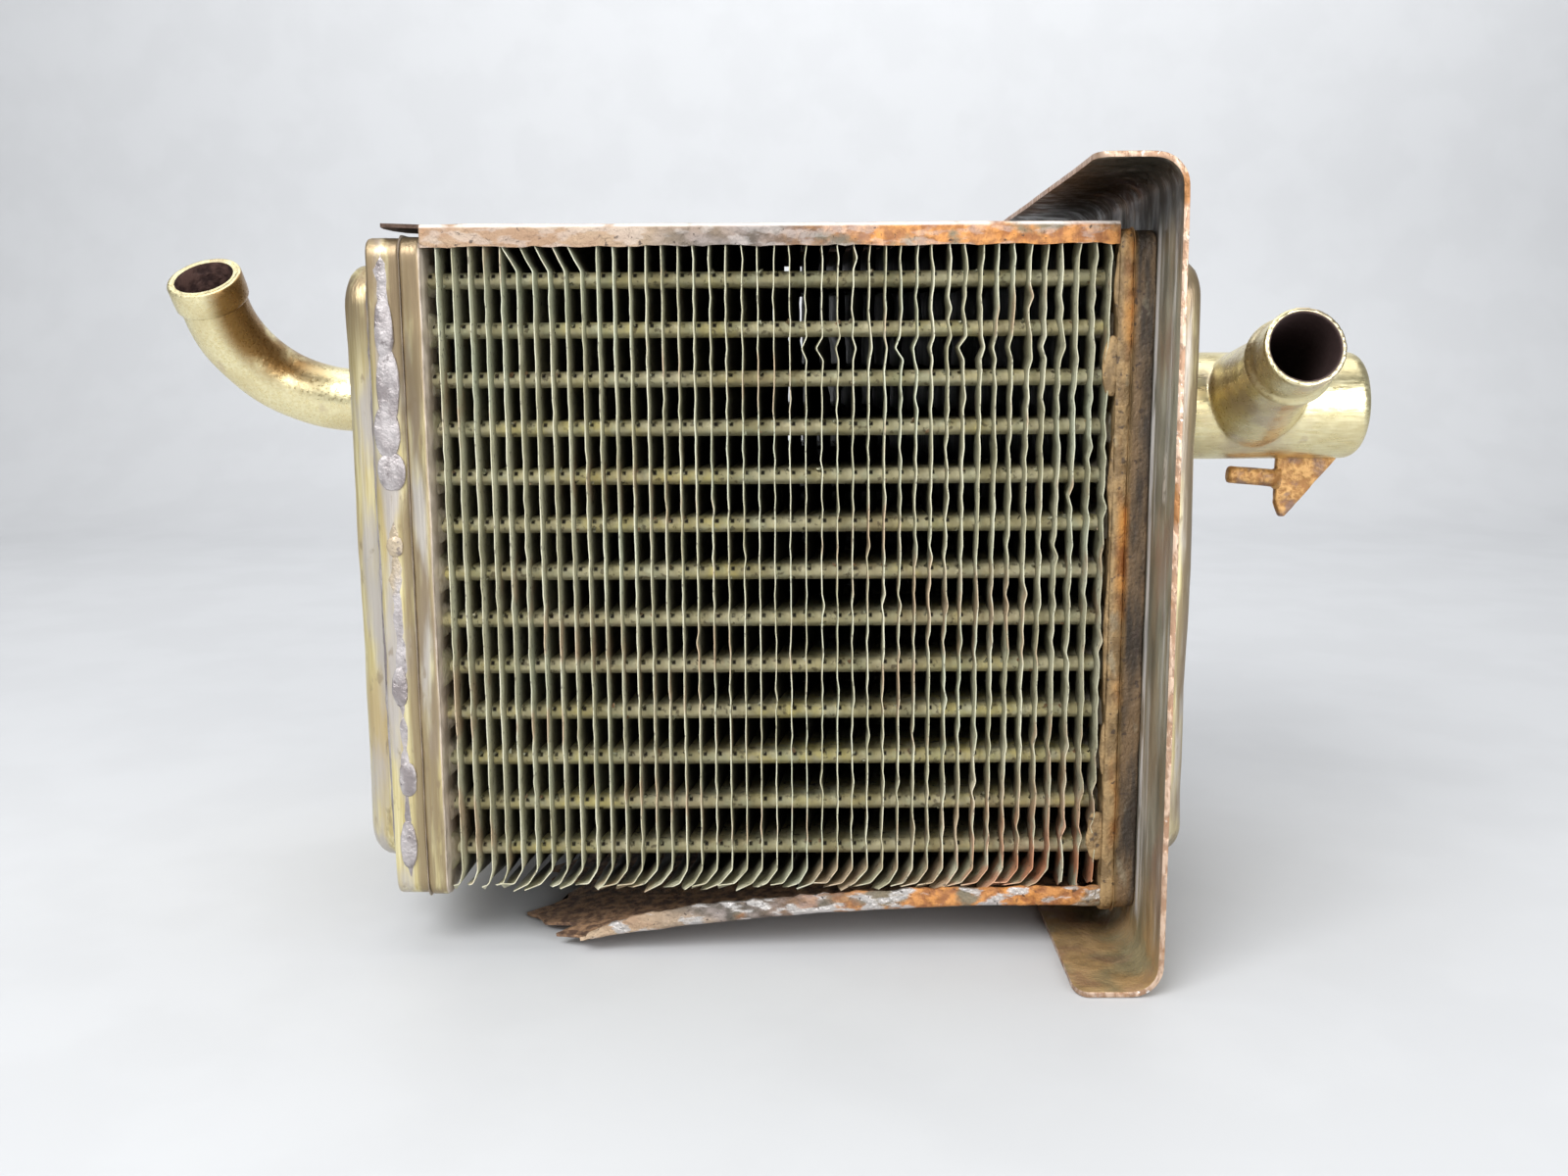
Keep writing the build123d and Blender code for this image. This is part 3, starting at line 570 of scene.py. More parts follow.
def make_fin(number):
    """One thin fin: a sheet cut across at its bends, each bend pushed a little sideways."""
    x = FIRST_FIN_X + FIN_PITCH * number
    share = number / (FIN_COUNT - 1)
    wild = 0.07 + 0.32 * max(0.0, share - 0.3) ** 1.1
    clear()
    bpy.ops.mesh.primitive_plane_add(size=1, location=at(x, 50, (FIN_TOP_Z + TAIL_Z) / 2),
                                     rotation=(0, math.pi / 2, 0))
    fin = bpy.context.object
    fin.scale = ((FIN_TOP_Z - TAIL_Z) / 1000, 0.1, 1)
    begin("fin_sheet")
    for z in fin_levels():
        cut(at(x, 0, z), (0, 0, 1))
    for y in (2.5, 8.0, 20.0, 40.0, 70.0, 90.0):
        cut(at(x, y, 0), (0, 1, 0))

    def level(z, deep=200.0):
        return lambda c, item: abs(c.z - z / 1000) < 2e-4 and c.y < (deep - 50) / 1000

    lean = chance.uniform(-0.25, 0.25)
    for z in ROW_Z:
        for height, size in ((z + LOW_BEND, wild), (z + HIGH_BEND, wild), (z + TUBE_HALF, wild * 0.5)):
            pick("VERT", level(height))
            move(x=(lean * 0.3 + chance.gauss(0, size * 0.55)) / 1000)
            pick("VERT", level(height, 2.6))
            move(x=chance.gauss(0, size) / 1000)
    for y, bow in ((20.0, 1.6), (40.0, 2.9), (70.0, 2.4), (90.0, 0.6)):
        pick("VERT", lambda c, item: abs(c.y - (y - 50) / 1000) < 2e-4)
        move(x=(bow + chance.gauss(0, 0.4)) / 1000)
        for z in ROW_Z:
            pick("VERT", lambda c, item: abs(c.y - (y - 50) / 1000) < 2e-4 and 1.7e-3 < c.z - z / 1000 < 7e-3)
            move(x=chance.gauss(0, 0.45) / 1000)
    if 23 <= number <= 39:
        # Something has pressed on the core between its second and third tubes.
        for height, push in ((CRUSHED_ROW_Z - TUBE_HALF, 0.5), (CRUSHED_ROW_Z - LOW_BEND, -1.3),
                             (CRUSHED_ROW_Z - HIGH_BEND, 0.4)):
            pick("VERT", lambda c, item: abs(c.z - height / 1000) < 5e-4 and c.y < -0.041)
            move(x=push * chance.uniform(0.3, 1.25) * chance.choice((1, 1, -0.6)) / 1000)
    if 5 <= number <= 9:
        # These few are pushed over to the left above the top tube.
        for height, push in ((ROW_Z[-1] + LOW_BEND, 1.3), (ROW_Z[-1] + HIGH_BEND, 2.7), (FIN_TOP_Z, 3.6)):
            pick("VERT", lambda c, item: abs(c.z - height / 1000) < 4e-4 and c.y < -0.025)
            move(x=-push * chance.uniform(0.85, 1.1) / 1000)
    if number > 22:
        pick("VERT", lambda c, item: c.z > at(0, 0, FIN_TOP_Z - 0.5).z)
        move(x=chance.uniform(0.2, 1.2) / 1000)
    # The tails are folded down to the left, each by its own amount.
    fold = chance.uniform(4.2, 6.8) if number > 3 else chance.uniform(1.6, 3.0)
    if number >= 40:
        fold = 0.6
    pick("VERT", lambda c, item: c.z < at(0, 0, TAIL_Z + 0.5).z)
    move(x=-fold / 1000, z=chance.uniform(-0.2, 0.9) / 1000)
    pick("VERT", lambda c, item: abs(c.z - (KNEE_Z - TAIL_BEND) / 1000) < 2e-4)
    move(x=-fold * 0.42 / 1000)
    pick("VERT", lambda c, item: c.z < at(0, 0, TAIL_Z + 1.6).z and c.y < -0.049)
    move(x=chance.uniform(-0.8, 1.2) / 1000, z=chance.uniform(0.2, 2.2) / 1000)
    pick("VERT", lambda c, item: c.z < at(0, 0, TAIL_Z + 1.6).z and abs(c.y + 0.0475) < 4e-4)
    move(x=chance.uniform(-1.6, 0.2) / 1000, z=chance.uniform(-0.4, 0.8) / 1000)
    leave()
    return fin


def make_fins():
    made = 0
    for bank in range(1, 12):
        count = min(4, FIN_COUNT - made)
        fins = [make_fin(made + i) for i in range(count)]
        made += count
        clear()
        for fin in fins:
            fin.select_set(True)
        bpy.context.view_layer.objects.active = fins[0]
        bpy.ops.object.join()
        piece = bpy.context.object
        piece.name = piece.data.name = f"fins_{bank:02d}"
        modify(piece, "BEVEL", affect="EDGES", width=0.0004, segments=2, limit_method="ANGLE",
               angle_limit=math.radians(12))
        modify(piece, "SOLIDIFY", thickness=FIN_THICK / 1000, offset=0.0)
        finish_piece(piece, FIN, "fin_copper", f"fin_bank_{bank:02d}", angle=50)


make_fins()

# ---------------------------------------------------------------- blocks, dents and beads

def block(name, x, y, z):
    """A block between two limits along each axis, given in the CAD source's millimetres."""
    clear()
    low, high = at(x[0], y[0], z[0]), at(x[1], y[1], z[1])
    bpy.ops.mesh.primitive_cube_add(size=1, location=(low + high) / 2)
    bpy.context.object.scale = high - low
    return begin(name)


def runs(axis):
    """A test for edges that run along one axis."""
    def test(c, edge):
        way = edge.verts[1].co - edge.verts[0].co
        return abs(way[axis]) > 0.98 * way.length
    return test


def round_edges(test, width, steps=3):
    pick("EDGE", test)
    bpy.ops.mesh.bevel(offset=width / 1000, segments=steps, affect="EDGES")


def slice_up(axis, low, high, pieces):
    """Cuts the mesh across at even steps, so that it can be dented."""
    for i in range(1, pieces):
        point = [0.0, 0.0, 0.0]
        point[axis] = low + (high - low) * i / pieces
        cut(at(*point), [float(k == axis) for k in range(3)])


def dent(piece, depth, size, detail=1):
    """Moves the surface in and out a little, as handling does."""
    leave()
    cloud = bpy.data.textures.new(piece.name + "_dents", "CLOUDS")
    cloud.noise_scale = size / 1000
    cloud.noise_depth = detail
    modify(piece, "DISPLACE", texture=cloud, texture_coords="LOCAL", strength=depth / 1000, mid_level=0.5)
    bpy.ops.object.mode_set(mode="EDIT")


def bead_round(name, x, y, z, thick, corner):
    """A lumpy bead of solder laid round a rectangle that stands across the tubes."""
    clear()
    bpy.ops.mesh.primitive_plane_add(size=1, location=at(x, sum(y) / 2, sum(z) / 2),
                                     rotation=(0, math.pi / 2, 0))
    bpy.context.object.scale = ((z[1] - z[0]) / 1000, (y[1] - y[0]) / 1000, 1)
    begin(name)
    take_all()
    bpy.ops.mesh.bevel(offset=corner / 1000, segments=4, affect="VERTICES")
    pick("FACE", lambda c, face: True)
    bpy.ops.mesh.delete(type="ONLY_FACE")
    for i in range(1, 56):
        cut(at(0, 0, z[0] + (z[1] - z[0]) * i / 56), (0, 0, 1))
    for i in range(1, 36):
        cut(at(0, y[0] + (y[1] - y[0]) * i / 36, 0), (0, 1, 0))
    leave()
    bpy.ops.object.convert(target="CURVE")
    line = bpy.context.object
    line.data.bevel_depth = thick / 1000
    line.data.bevel_resolution = 2
    bpy.ops.object.convert(target="MESH")
    piece = bpy.context.object
    bpy.ops.object.mode_set(mode="EDIT")
    take_all()
    bpy.ops.mesh.remove_doubles(threshold=0.00001)
    bpy.ops.mesh.normals_make_consistent(inside=False)
    dent(piece, thick * 0.5, 4.0, 2)
    return piece


# ---------------------------------------------------------------- headers and tanks

HEADER_Y = (-0.6, 100.6)
TANK_Y, TANK_Z = (6.0, 94.0), (19.0, 153.0)


def make_header(name, x, z, hem_x, material, node):
    """A header pan: a shallow box with a folded hem round the side that faces the core."""
    piece = block(name, x, HEADER_Y, z)
    round_edges(runs(0), 4.0, 5)
    cut(at(hem_x, 0, 0), (1, 0, 0))
    core_side = max(x, key=lambda value: -abs(value))
    low, high = sorted((hem_x, core_side))
    pick("FACE", lambda c, face: at(low, 0, 0).x < c.x < at(high, 0, 0).x and abs(face.normal.x) < 0.1)
    bpy.ops.mesh.extrude_region()
    centre = at((low + high) / 2, 50, sum(z) / 2)
    bpy.ops.transform.resize(value=(1, 1.006, 1.0042), center_override=centre)
    round_edges(lambda c, edge: len(edge.link_faces) == 2 and edge.calc_face_angle(0) > 1.2 and abs(
        (edge.verts[1].co - edge.verts[0].co).normalized().x) < 0.1, 0.8, 3)
    slice_up(2, z[0], z[1], 26)
    slice_up(1, 0, 100, 14)
    slice_up(0, x[0], x[1], 4)
    dent(piece, 0.7, 14.0)
    return finish_piece(piece, material, "tank_brass", node, angle=35)


def make_tank(name, inner_x, outer_x, node):
    """A tank pan: rounded corners, a turned edge, and soft dents in its long faces."""
    piece = block(name, sorted((inner_x, outer_x)), TANK_Y, TANK_Z)
    round_edges(runs(0), 9.0, 7)
    outside = at(outer_x, 0, 0).x
    round_edges(lambda c, edge: all(abs(v.co.x - outside) < 1e-5 for v in edge.verts), 4.0, 5)
    inside = at(inner_x, 0, 0).x
    pick("FACE", lambda c, face: abs(c.x - inside) < 1e-5)
    bpy.ops.mesh.delete(type="FACE")
    slice_up(2, TANK_Z[0], TANK_Z[1], 30)
    slice_up(1, TANK_Y[0], TANK_Y[1], 20)
    slice_up(0, inner_x, outer_x, 4)
    dent(piece, 0.9, 26.0)
    dent(piece, 0.25, 7.0)
    leave()
    modify(piece, "SOLIDIFY", thickness=0.001, offset=-1.0)
    return finish_piece(piece, BRASS, "tank_brass", node, angle=35)


make_header("left_header_pan", (-89.0, -77.4), (13.5, 157.8), -81.8, BRASS, "left_header")
make_header("right_header_pan", (68.2, 76.0), (9.6, 158.6), 71.2, COLLAR, "right_header")
make_tank("left_tank_pan", -80.0, -96.3, "left_tank")
make_tank("right_tank_pan", 70.0, 88.0, "right_tank")

bead = bead_round("left_rim_run", -85.6, (0.9, 99.1), (15.0, 156.3), 1.7, 4.0)
take_all()
bpy.ops.transform.resize(value=(1.45, 1, 1), center_override=at(-85.6, 50, 85))
finish_piece(bead, SOLDER, "solder", "left_rim_bead", angle=60)
bead = bead_round("left_tank_seam", -89.4, (5.6, 94.4), (18.6, 153.4), 1.5, 9.0)
finish_piece(bead, SOLDER, "solder", "left_seam_solder", angle=60)
bead = bead_round("right_tank_seam", 78.2, (5.6, 94.4), (18.6, 153.4), 1.6, 9.0)
finish_piece(bead, SOLDER, "solder", "right_seam_solder", angle=60)


def solder_lump(name, place, size, material=None):
    """A run of solder that has set as a flat drop."""
    clear()
    bpy.ops.mesh.primitive_cube_add(size=1, location=at(*place))
    bpy.context.object.scale = Vector(size) / 1000
    piece = begin(name)
    take_all()
    bpy.ops.mesh.subdivide(number_cuts=5, smoothness=1.0)
    bpy.ops.mesh.vertices_smooth(factor=0.5, repeat=3)
    points = [v.co for v in bmesh.from_edit_mesh(piece.data).verts]
    spans = [max(co[k] for co in points) - min(co[k] for co in points) for k in range(3)]
    scales = [wanted / 1000 / span for wanted, span in zip(size, spans)]
    bpy.ops.transform.resize(value=scales, center_override=at(*place))
    dent(piece, min(size) * 0.5, max(size) * 0.3, 2)
    return finish_piece(piece, material or SOLDER, "solder", angle=70)


# How high each drop on the left rim sits, with its width and height.
RIM_DROPS = ((139.0, 4.0, 14.0), (127.0, 5.0, 17.0), (117.5, 5.6, 11.0), (109.0, 6.0, 8.0), (93.0, 3.6, 4.5),
             (62.0, 3.6, 9.0), (41.0, 4.0, 8.0), (26.0, 3.8, 11.0))
for index, (z, width, tall) in enumerate(RIM_DROPS):
    solder_lump(f"rim_drop_{index + 1}", (-85.6 + 0.4 * math.sin(index * 2.3), -0.75, z), (width, 1.3, tall))
# Where the right rim's solder swells towards the core: across, up, and its size.
COLLAR_LUMPS = ((67.5, 130.5, (4.4, 2.4, 13.0)), (67.2, 27.0, (4.6, 1.6, 11.0)),
                (68.3, 105.0, (1.8, 2.0, 22.0)), (68.2, 72.0, (1.6, 1.8, 30.0)),
                (68.3, 47.0, (2.0, 2.0, 12.0)), (68.4, 147.0, (1.8, 2.0, 14.0)))
for index, (x, z, size) in enumerate(COLLAR_LUMPS):
    solder_lump(f"collar_lump_{index + 1}", (x, 0.6, z), size, COLLAR)

# ---------------------------------------------------------------- tube roots and fin nibs


def solder_once(name, size, taper, facing):
    """A small wedge of solder, to be copied wherever a tube enters a header."""
    clear()
    bpy.ops.mesh.primitive_cube_add(size=1, location=(0, 0, 0))
    bpy.context.object.scale = Vector(size) / 1000
    piece = begin(name)
    pick("FACE", lambda c, face: face.normal.x * facing > 0.9)
    bpy.ops.transform.resize(value=(1, taper, taper), center_override=(0, 0, 0))
    pick("EDGE", lambda c, edge: abs(c.x) < size[0] / 2500)
    bpy.ops.mesh.bevel(offset=0.0008, segments=2, affect="EDGES")
    cut((facing * size[0] / 8000, 0, 0), (1, 0, 0))
    pick("VERT", lambda c, vert: abs(c.x - facing * size[0] / 8000) < 1e-5)
    bpy.ops.transform.resize(value=(1, 0.93, 0.8), center_override=(0, 0, 0))
    leave()
    return piece


def spread_copies(pattern, name, places, turn_up_to, size_range, material, slot):
    """Copies a pattern to every place, each with its own mesh, and joins the copies into one piece."""
    copies = []
    for place in places:
        copy = pattern.copy()
        copy.data = pattern.data.copy()
        bpy.context.scene.collection.objects.link(copy)
        copy.location = place
        copy.rotation_euler = [chance.uniform(-limit, limit) for limit in turn_up_to]
        copy.scale = [chance.uniform(*size_range) for _ in range(3)]
        copies.append(copy)
    clear()
    for copy in copies:
        copy.select_set(True)
    bpy.context.view_layer.objects.active = copies[0]
    bpy.ops.object.join()
    piece = bpy.context.object
    piece.name = piece.data.name = name
    bpy.ops.object.transform_apply(location=True, rotation=True, scale=True)
    bpy.data.objects.remove(pattern)
    return finish_piece(piece, material, slot, angle=60)


COLUMN_Y = (17.5, 50.0, 82.5)
root = solder_once("root", (4.4, 26.5, 8.0), 0.45, 1)
spread_copies(root, "left_tube_roots", [at(-75.6, y, z) for y in COLUMN_Y for z in ROW_Z],
              (0.02, 0.02, 0.02), (0.9, 1.12), ROOT, "solder")
root = solder_once("root", (3.0, 26.0, 6.4), 0.6, -1)
spread_copies(root, "right_tube_roots", [at(67.0, y, z) for y in COLUMN_Y for z in ROW_Z],
              (0.02, 0.02, 0.02), (0.9, 1.12), ROOT, "solder")


def make_nib():
    """The torn lip of a fin's slot: a tiny bent leaf, beside the fin and over the tube's nose."""
    clear()
    bpy.ops.mesh.primitive_cube_add(size=1, location=(0, 0, 0))
    bpy.context.object.scale = (0.0009, 0.0011, 0.0004)
    piece = begin("nib")
    cut((0.0001, 0, 0), (1, 0, 0))
    pick("VERT", lambda c, vert: c.x > 0.0003)
    bpy.ops.transform.resize(value=(1, 0.35, 0.5), center_override=(0, 0.0002, 0))
    bpy.ops.transform.translate(value=(0, 0, 0.0005))
    leave()
    return piece


places = []
for number in range(FIN_COUNT):
    for z in ROW_Z:
        x = FIRST_FIN_X + FIN_PITCH * number
        side = chance.choice((1, 1, -1))
        up = chance.choice((1.25, 1.25, 1.25, -1.0))
        places.append(at(x + side * 0.35, 5.9 + chance.uniform(-0.3, 0.5),
                         z + up + chance.uniform(-0.25, 0.25)))
spread_copies(make_nib(), "slot_lips", places, (0.7, 0.7, 1.2), (0.6, 1.35), NIB, "fin_copper")

# ---------------------------------------------------------------- side plates

PLATE_THICK, PLATE_LIP = 0.8, 4.7
TOP_Z, BOTTOM_Z = 160.4, 10.8


def nudge(test, shift):
    """Moves each vertex that passes a test by its own amount, one after another."""
    mesh = bmesh.from_edit_mesh(bpy.context.object.data)
    plan = [(v.index, shift(v.co)) for v in mesh.verts if test(v.co, v)]
    bpy.ops.mesh.select_mode(type="VERT")
    for index, way in plan:
        bpy.ops.mesh.select_all(action="DESELECT")
        mesh = bmesh.from_edit_mesh(bpy.context.object.data)
        mesh.verts.ensure_lookup_table()
        mesh.verts[index].select = True
        bmesh.update_edit_mesh(bpy.context.object.data)
        move(**way)


def ragged(test, along, reach):
    """Nibbles an edge: each vertex on it is moved along one axis by its own random amount, in millimetres."""
    nudge(test, lambda co: {along: chance.uniform(-reach, reach) / 1000})


def channel(name, x, lip_down, z):
    """A thin plate over the core with a lip turned along its front and its back."""
    clear()
    bpy.ops.mesh.primitive_plane_add(size=1, location=at(sum(x) / 2, 50, z))
    bpy.context.object.scale = ((x[1] - x[0]) / 1000, (HEADER_Y[1] - HEADER_Y[0] - PLATE_THICK) / 1000, 1)
    piece = begin(name)
    for front in (True, False):
        pick("EDGE", lambda c, edge: (c.y < at(0, 1, 0).y) if front else (c.y > at(0, 99, 0).y))
        draw_out(z=lip_down)
    pick("EDGE", lambda c, edge: abs(c.z - z / 1000) < 1e-5 and abs(c.x - at(sum(x) / 2, 0, 0).x) < 1e-3
         and abs(c.y) > 0.04)
    bpy.ops.mesh.bevel(offset=0.0009, segments=3, affect="EDGES")
    return piece


top = channel("top_plate", (-77.4, 68.2), -(PLATE_LIP - PLATE_THICK / 2), TOP_Z - PLATE_THICK / 2)
slice_up(0, -77.4, 68.2, 74)
slice_up(1, 0, 100, 16)
lip_end = (TOP_Z - PLATE_LIP) / 1000
ragged(lambda c, v: abs(c.z - lip_end) < 6e-4 and c.y < 0, "z", 0.22)
# A torn tongue of the plate is left lying over the left header.
plate_end, plate_z = at(-77.4, 0, 0).x, (TOP_Z - PLATE_THICK / 2) / 1000
pick("EDGE", lambda c, edge: abs(c.x - plate_end) < 1e-5 and abs(c.z - plate_z) < 1e-5
     and c.y < at(0, 20, 0).y)
for reach in (2.2, 2.2, 2.0, 1.6):
    draw_out(x=-reach, z=0.08)
tongue = at(-78.0, 0, 0).x
tip, sides = at(-84.8, 0, 0).x, (at(0, 2, 0).y, at(0, 16, 0).y)
ragged(lambda c, v: c.x < tongue and (c.x < tip or c.y < sides[0] or c.y > sides[1]), "y", 0.9)
ragged(lambda c, v: c.x < tip, "x", 1.0)
dent(top, 0.45, 12.0, 2)
leave()
modify(top, "SOLIDIFY", thickness=PLATE_THICK / 1000, offset=0.0)
finish_piece(top, TOP_PLATE, "sheet_steel", "top_side_plate", angle=35)

PEEL_START_X, PEEL_END_X, PEEL_R, TEAR_START_X = 52.0, -62.0, 660.0, -18.0
bottom = channel("bottom_plate", (PEEL_END_X, 68.2), PLATE_LIP - PLATE_THICK / 2, BOTTOM_Z + PLATE_THICK / 2)
slice_up(0, PEEL_END_X, 68.2, 74)
slice_up(1, 0, 100, 24)
ragged(lambda c, v: c.z > (BOTTOM_Z + PLATE_LIP - 0.5) / 1000 and c.y < 0, "z", 0.35)
ragged(lambda c, v: abs(c.x - at(PEEL_END_X, 0, 0).x) < 1e-5, "x", 3.5)


def tear(co):
    """How the torn end runs in and out, its lip narrows away, and the whole plate peels down on an arc."""
    x, y, height = co.x * 1000 - ORIGIN.x, co.y * 1000 - ORIGIN.y, co.z * 1000 - BOTTOM_Z
    share = max(0.0, min(1.0, (TEAR_START_X - x) / (TEAR_START_X - PEEL_END_X)))
    lift = -height * 0.78 * share * share if y < 3 and height > 0 else 0.0
    if y > 4:
        back = (6.0 + 5.0 * math.sin(y * 0.23) + 3.0 * math.sin(y * 0.83 + 1)) * share ** 1.5
    else:
        back = 15.0 * share ** 2
    peel = PEEL_START_X - x - back
    if peel > 0:
        lift -= PEEL_R - math.sqrt(PEEL_R ** 2 - peel ** 2)
    return {"x": back / 1000, "z": lift / 1000}


nudge(lambda c, vert: c.x < at(PEEL_START_X, 0, 0).x, tear)
dent(bottom, 0.5, 9.0, 2)
leave()
modify(bottom, "SOLIDIFY", thickness=PLATE_THICK / 1000, offset=0.0)
finish_piece(bottom, BOTTOM_PLATE, "sheet_steel", "bottom_side_plate", angle=35)

# ---------------------------------------------------------------- end flange

FLANGE_FRONT_Y, FLANGE_BACK_Y = -24.0, 124.0
FLANGE_LEFT_X, FLANGE_MID_X, FLANGE_SHEET = 58.8, 76.6, 1.2
FLANGE_TOP_Z, FLANGE_DROP, FLANGE_RAKE, FLANGE_BEND = 172.1, 4.5, 4.0, 6.1
WINDOW_Y, WINDOW_Z = (8.5, 91.5), (20.0, 152.0)  # the opening that the tank stands in


def make_flange():
    """One sheet: a foot tab, a bend up, the standing web, a bend in, and a top tab."""
    clear()
    foot = FLANGE_SHEET / 2 + 0.16
    right = FLANGE_MID_X - FLANGE_BEND
    bpy.ops.mesh.primitive_plane_add(size=1, location=at((FLANGE_LEFT_X + right) / 2, 50, foot))
    bpy.context.object.scale = ((right - FLANGE_LEFT_X) / 1000, (FLANGE_BACK_Y - FLANGE_FRONT_Y) / 1000, 1)
    piece = begin("end_flange_sheet")
    slice_up(1, FLANGE_FRONT_Y, FLANGE_BACK_Y, 30)
    slice_up(0, FLANGE_LEFT_X, right, 4)
    pick("EDGE", lambda c, edge: abs(c.x - at(right, 0, 0).x) < 1e-5 and runs(1)(c, edge))
    bpy.ops.mesh.spin(steps=6, angle=math.pi / 2, center=at(right, 0, foot + FLANGE_BEND), axis=(0, 1, 0))
    # The web goes up in steps that leave a cut at the top and bottom of the tank's window.
    window = [WINDOW_Z[0] + (WINDOW_Z[1] - WINDOW_Z[0]) * i / 22 for i in range(23)]
    heights = [foot + FLANGE_BEND, *window, FLANGE_TOP_Z - foot - FLANGE_BEND]
    for low, high in zip(heights, heights[1:]):
        pick("EDGE", lambda c, edge: abs(c.z - low / 1000) < 1e-5
             and abs(c.x - at(FLANGE_MID_X, 0, 0).x) < 1e-5 and runs(1)(c, edge))
        draw_out(z=high - low)
    pick("EDGE", lambda c, edge: abs(c.z - heights[-1] / 1000) < 1e-5 and runs(1)(c, edge))
    bpy.ops.mesh.spin(steps=6, angle=math.pi / 2, center=at(right, 0, heights[-1]), axis=(0, 1, 0))
    steps = 4
    for i in range(steps):
        edge_x = at(right - (right - FLANGE_LEFT_X) * i / steps, 0, 0).x
        pick("EDGE", lambda c, edge: c.z > 0.16 and abs(c.x - edge_x) < 1e-5 and runs(1)(c, edge))
        draw_out(x=-(right - FLANGE_LEFT_X) / steps)
    pick("VERT", lambda c, vert: len(vert.link_edges) == 2)
    bpy.ops.mesh.bevel(offset=0.0085, segments=6, affect="VERTICES")
    low, high = at(0, WINDOW_Y[0], WINDOW_Z[0]), at(0, WINDOW_Y[1], WINDOW_Z[1])
    pick("FACE", lambda c, face: abs(face.normal.x) > 0.9 and low.y < c.y < high.y and low.z < c.z < high.z)
    bpy.ops.mesh.delete(type="FACE")
    # The top tab falls towards the back, and the front edge leans back towards the top.
    def settle(co):
        share_y = (co.y - at(0, FLANGE_FRONT_Y, 0).y) / 0.148
        share_z = co.z / (FLANGE_TOP_Z / 1000)
        return {"y": FLANGE_RAKE / 1000 * share_z * max(0.0, 1 - share_y * 5),
                "z": -FLANGE_DROP / 1000 * share_y * max(0.0, (share_z - 0.9) / 0.1)}

    nudge(lambda c, vert: c.y < at(0, FLANGE_FRONT_Y + 30, 0).y or c.z > 0.15, settle)
    face_out()
    dent(piece, 0.3, 30.0, 1)
    leave()
    modify(piece, "SUBSURF", levels=1, render_levels=1)
    piece.data.materials.append(FLANGE)
    piece.data.materials.append(RIM)
    modify(piece, "SOLIDIFY", thickness=FLANGE_SHEET / 1000, offset=0.0, material_offset_rim=1)
    modify(piece, "BEVEL", width=0.00025, segments=2, limit_method="ANGLE", angle_limit=math.radians(60))
    return finish_piece(piece, None, "sheet_steel", "end_flange", angle=40)


make_flange()

# ---------------------------------------------------------------- pipes

OUTLET_AXIS = Vector((-0.07, -0.55, 0.83)).normalized()
OUTLET_R, OUTLET_TURN_R, OUTLET_RUN, OUTLET_END = 7.6, 29.0, 11.8, 8.0


def outlet_line():
    """The pipe's start, its turn's centre and axis, its angle, and its mouth, in millimetres."""
    start = Vector((-94.3, 52.0, 122.0))
    way = Vector((-1, 0, 0))
    angle = way.angle(OUTLET_AXIS)
    corner = start + way * (OUTLET_RUN + OUTLET_TURN_R * math.tan(angle / 2))
    turn_start = start + way * OUTLET_RUN
    turn_axis = way.cross(OUTLET_AXIS).normalized()
    centre = turn_start + turn_axis.cross(way).normalized() * OUTLET_TURN_R
    mouth = corner + OUTLET_AXIS * (OUTLET_TURN_R * math.tan(angle / 2) + OUTLET_END)
    return start, turn_start, centre, turn_axis, angle, mouth


def open_rim(point, way, radius=20.0):
    """A test for the free edges that lie in a plane across a pipe."""
    def test(c, edge):
        apart = c - at(*point)
        return edge.is_boundary and abs(apart.dot(way)) < 2e-5 and apart.length < radius / 1000
    return test


def pipe_ring(name, point, way, radius, sides=56):
    clear()
    bpy.ops.mesh.primitive_circle_add(vertices=sides, radius=radius / 1000, fill_type="NOTHING",
                                      location=at(*point))
    bpy.context.object.rotation_mode = "QUATERNION"
    bpy.context.object.rotation_quaternion = Vector(way).to_track_quat("Z", "Y")
    return begin(name)


def grow_pipe(point, way, steps):
    """Draws a pipe's open end out along its way: each step says how far, and to what radius."""
    take_all()
    here, radius = Vector(point), steps[0][1]
    for step, (reach, wide) in enumerate(steps[1:]):
        if step:
            pick("EDGE", open_rim(here, way))
        draw_out(*Vector(way) * reach)
        here = here + Vector(way) * reach
        if abs(wide - radius) > 1e-6:
            bpy.ops.transform.resize(value=[wide / radius] * 3, center_override=at(*here))
            radius = wide
    return here


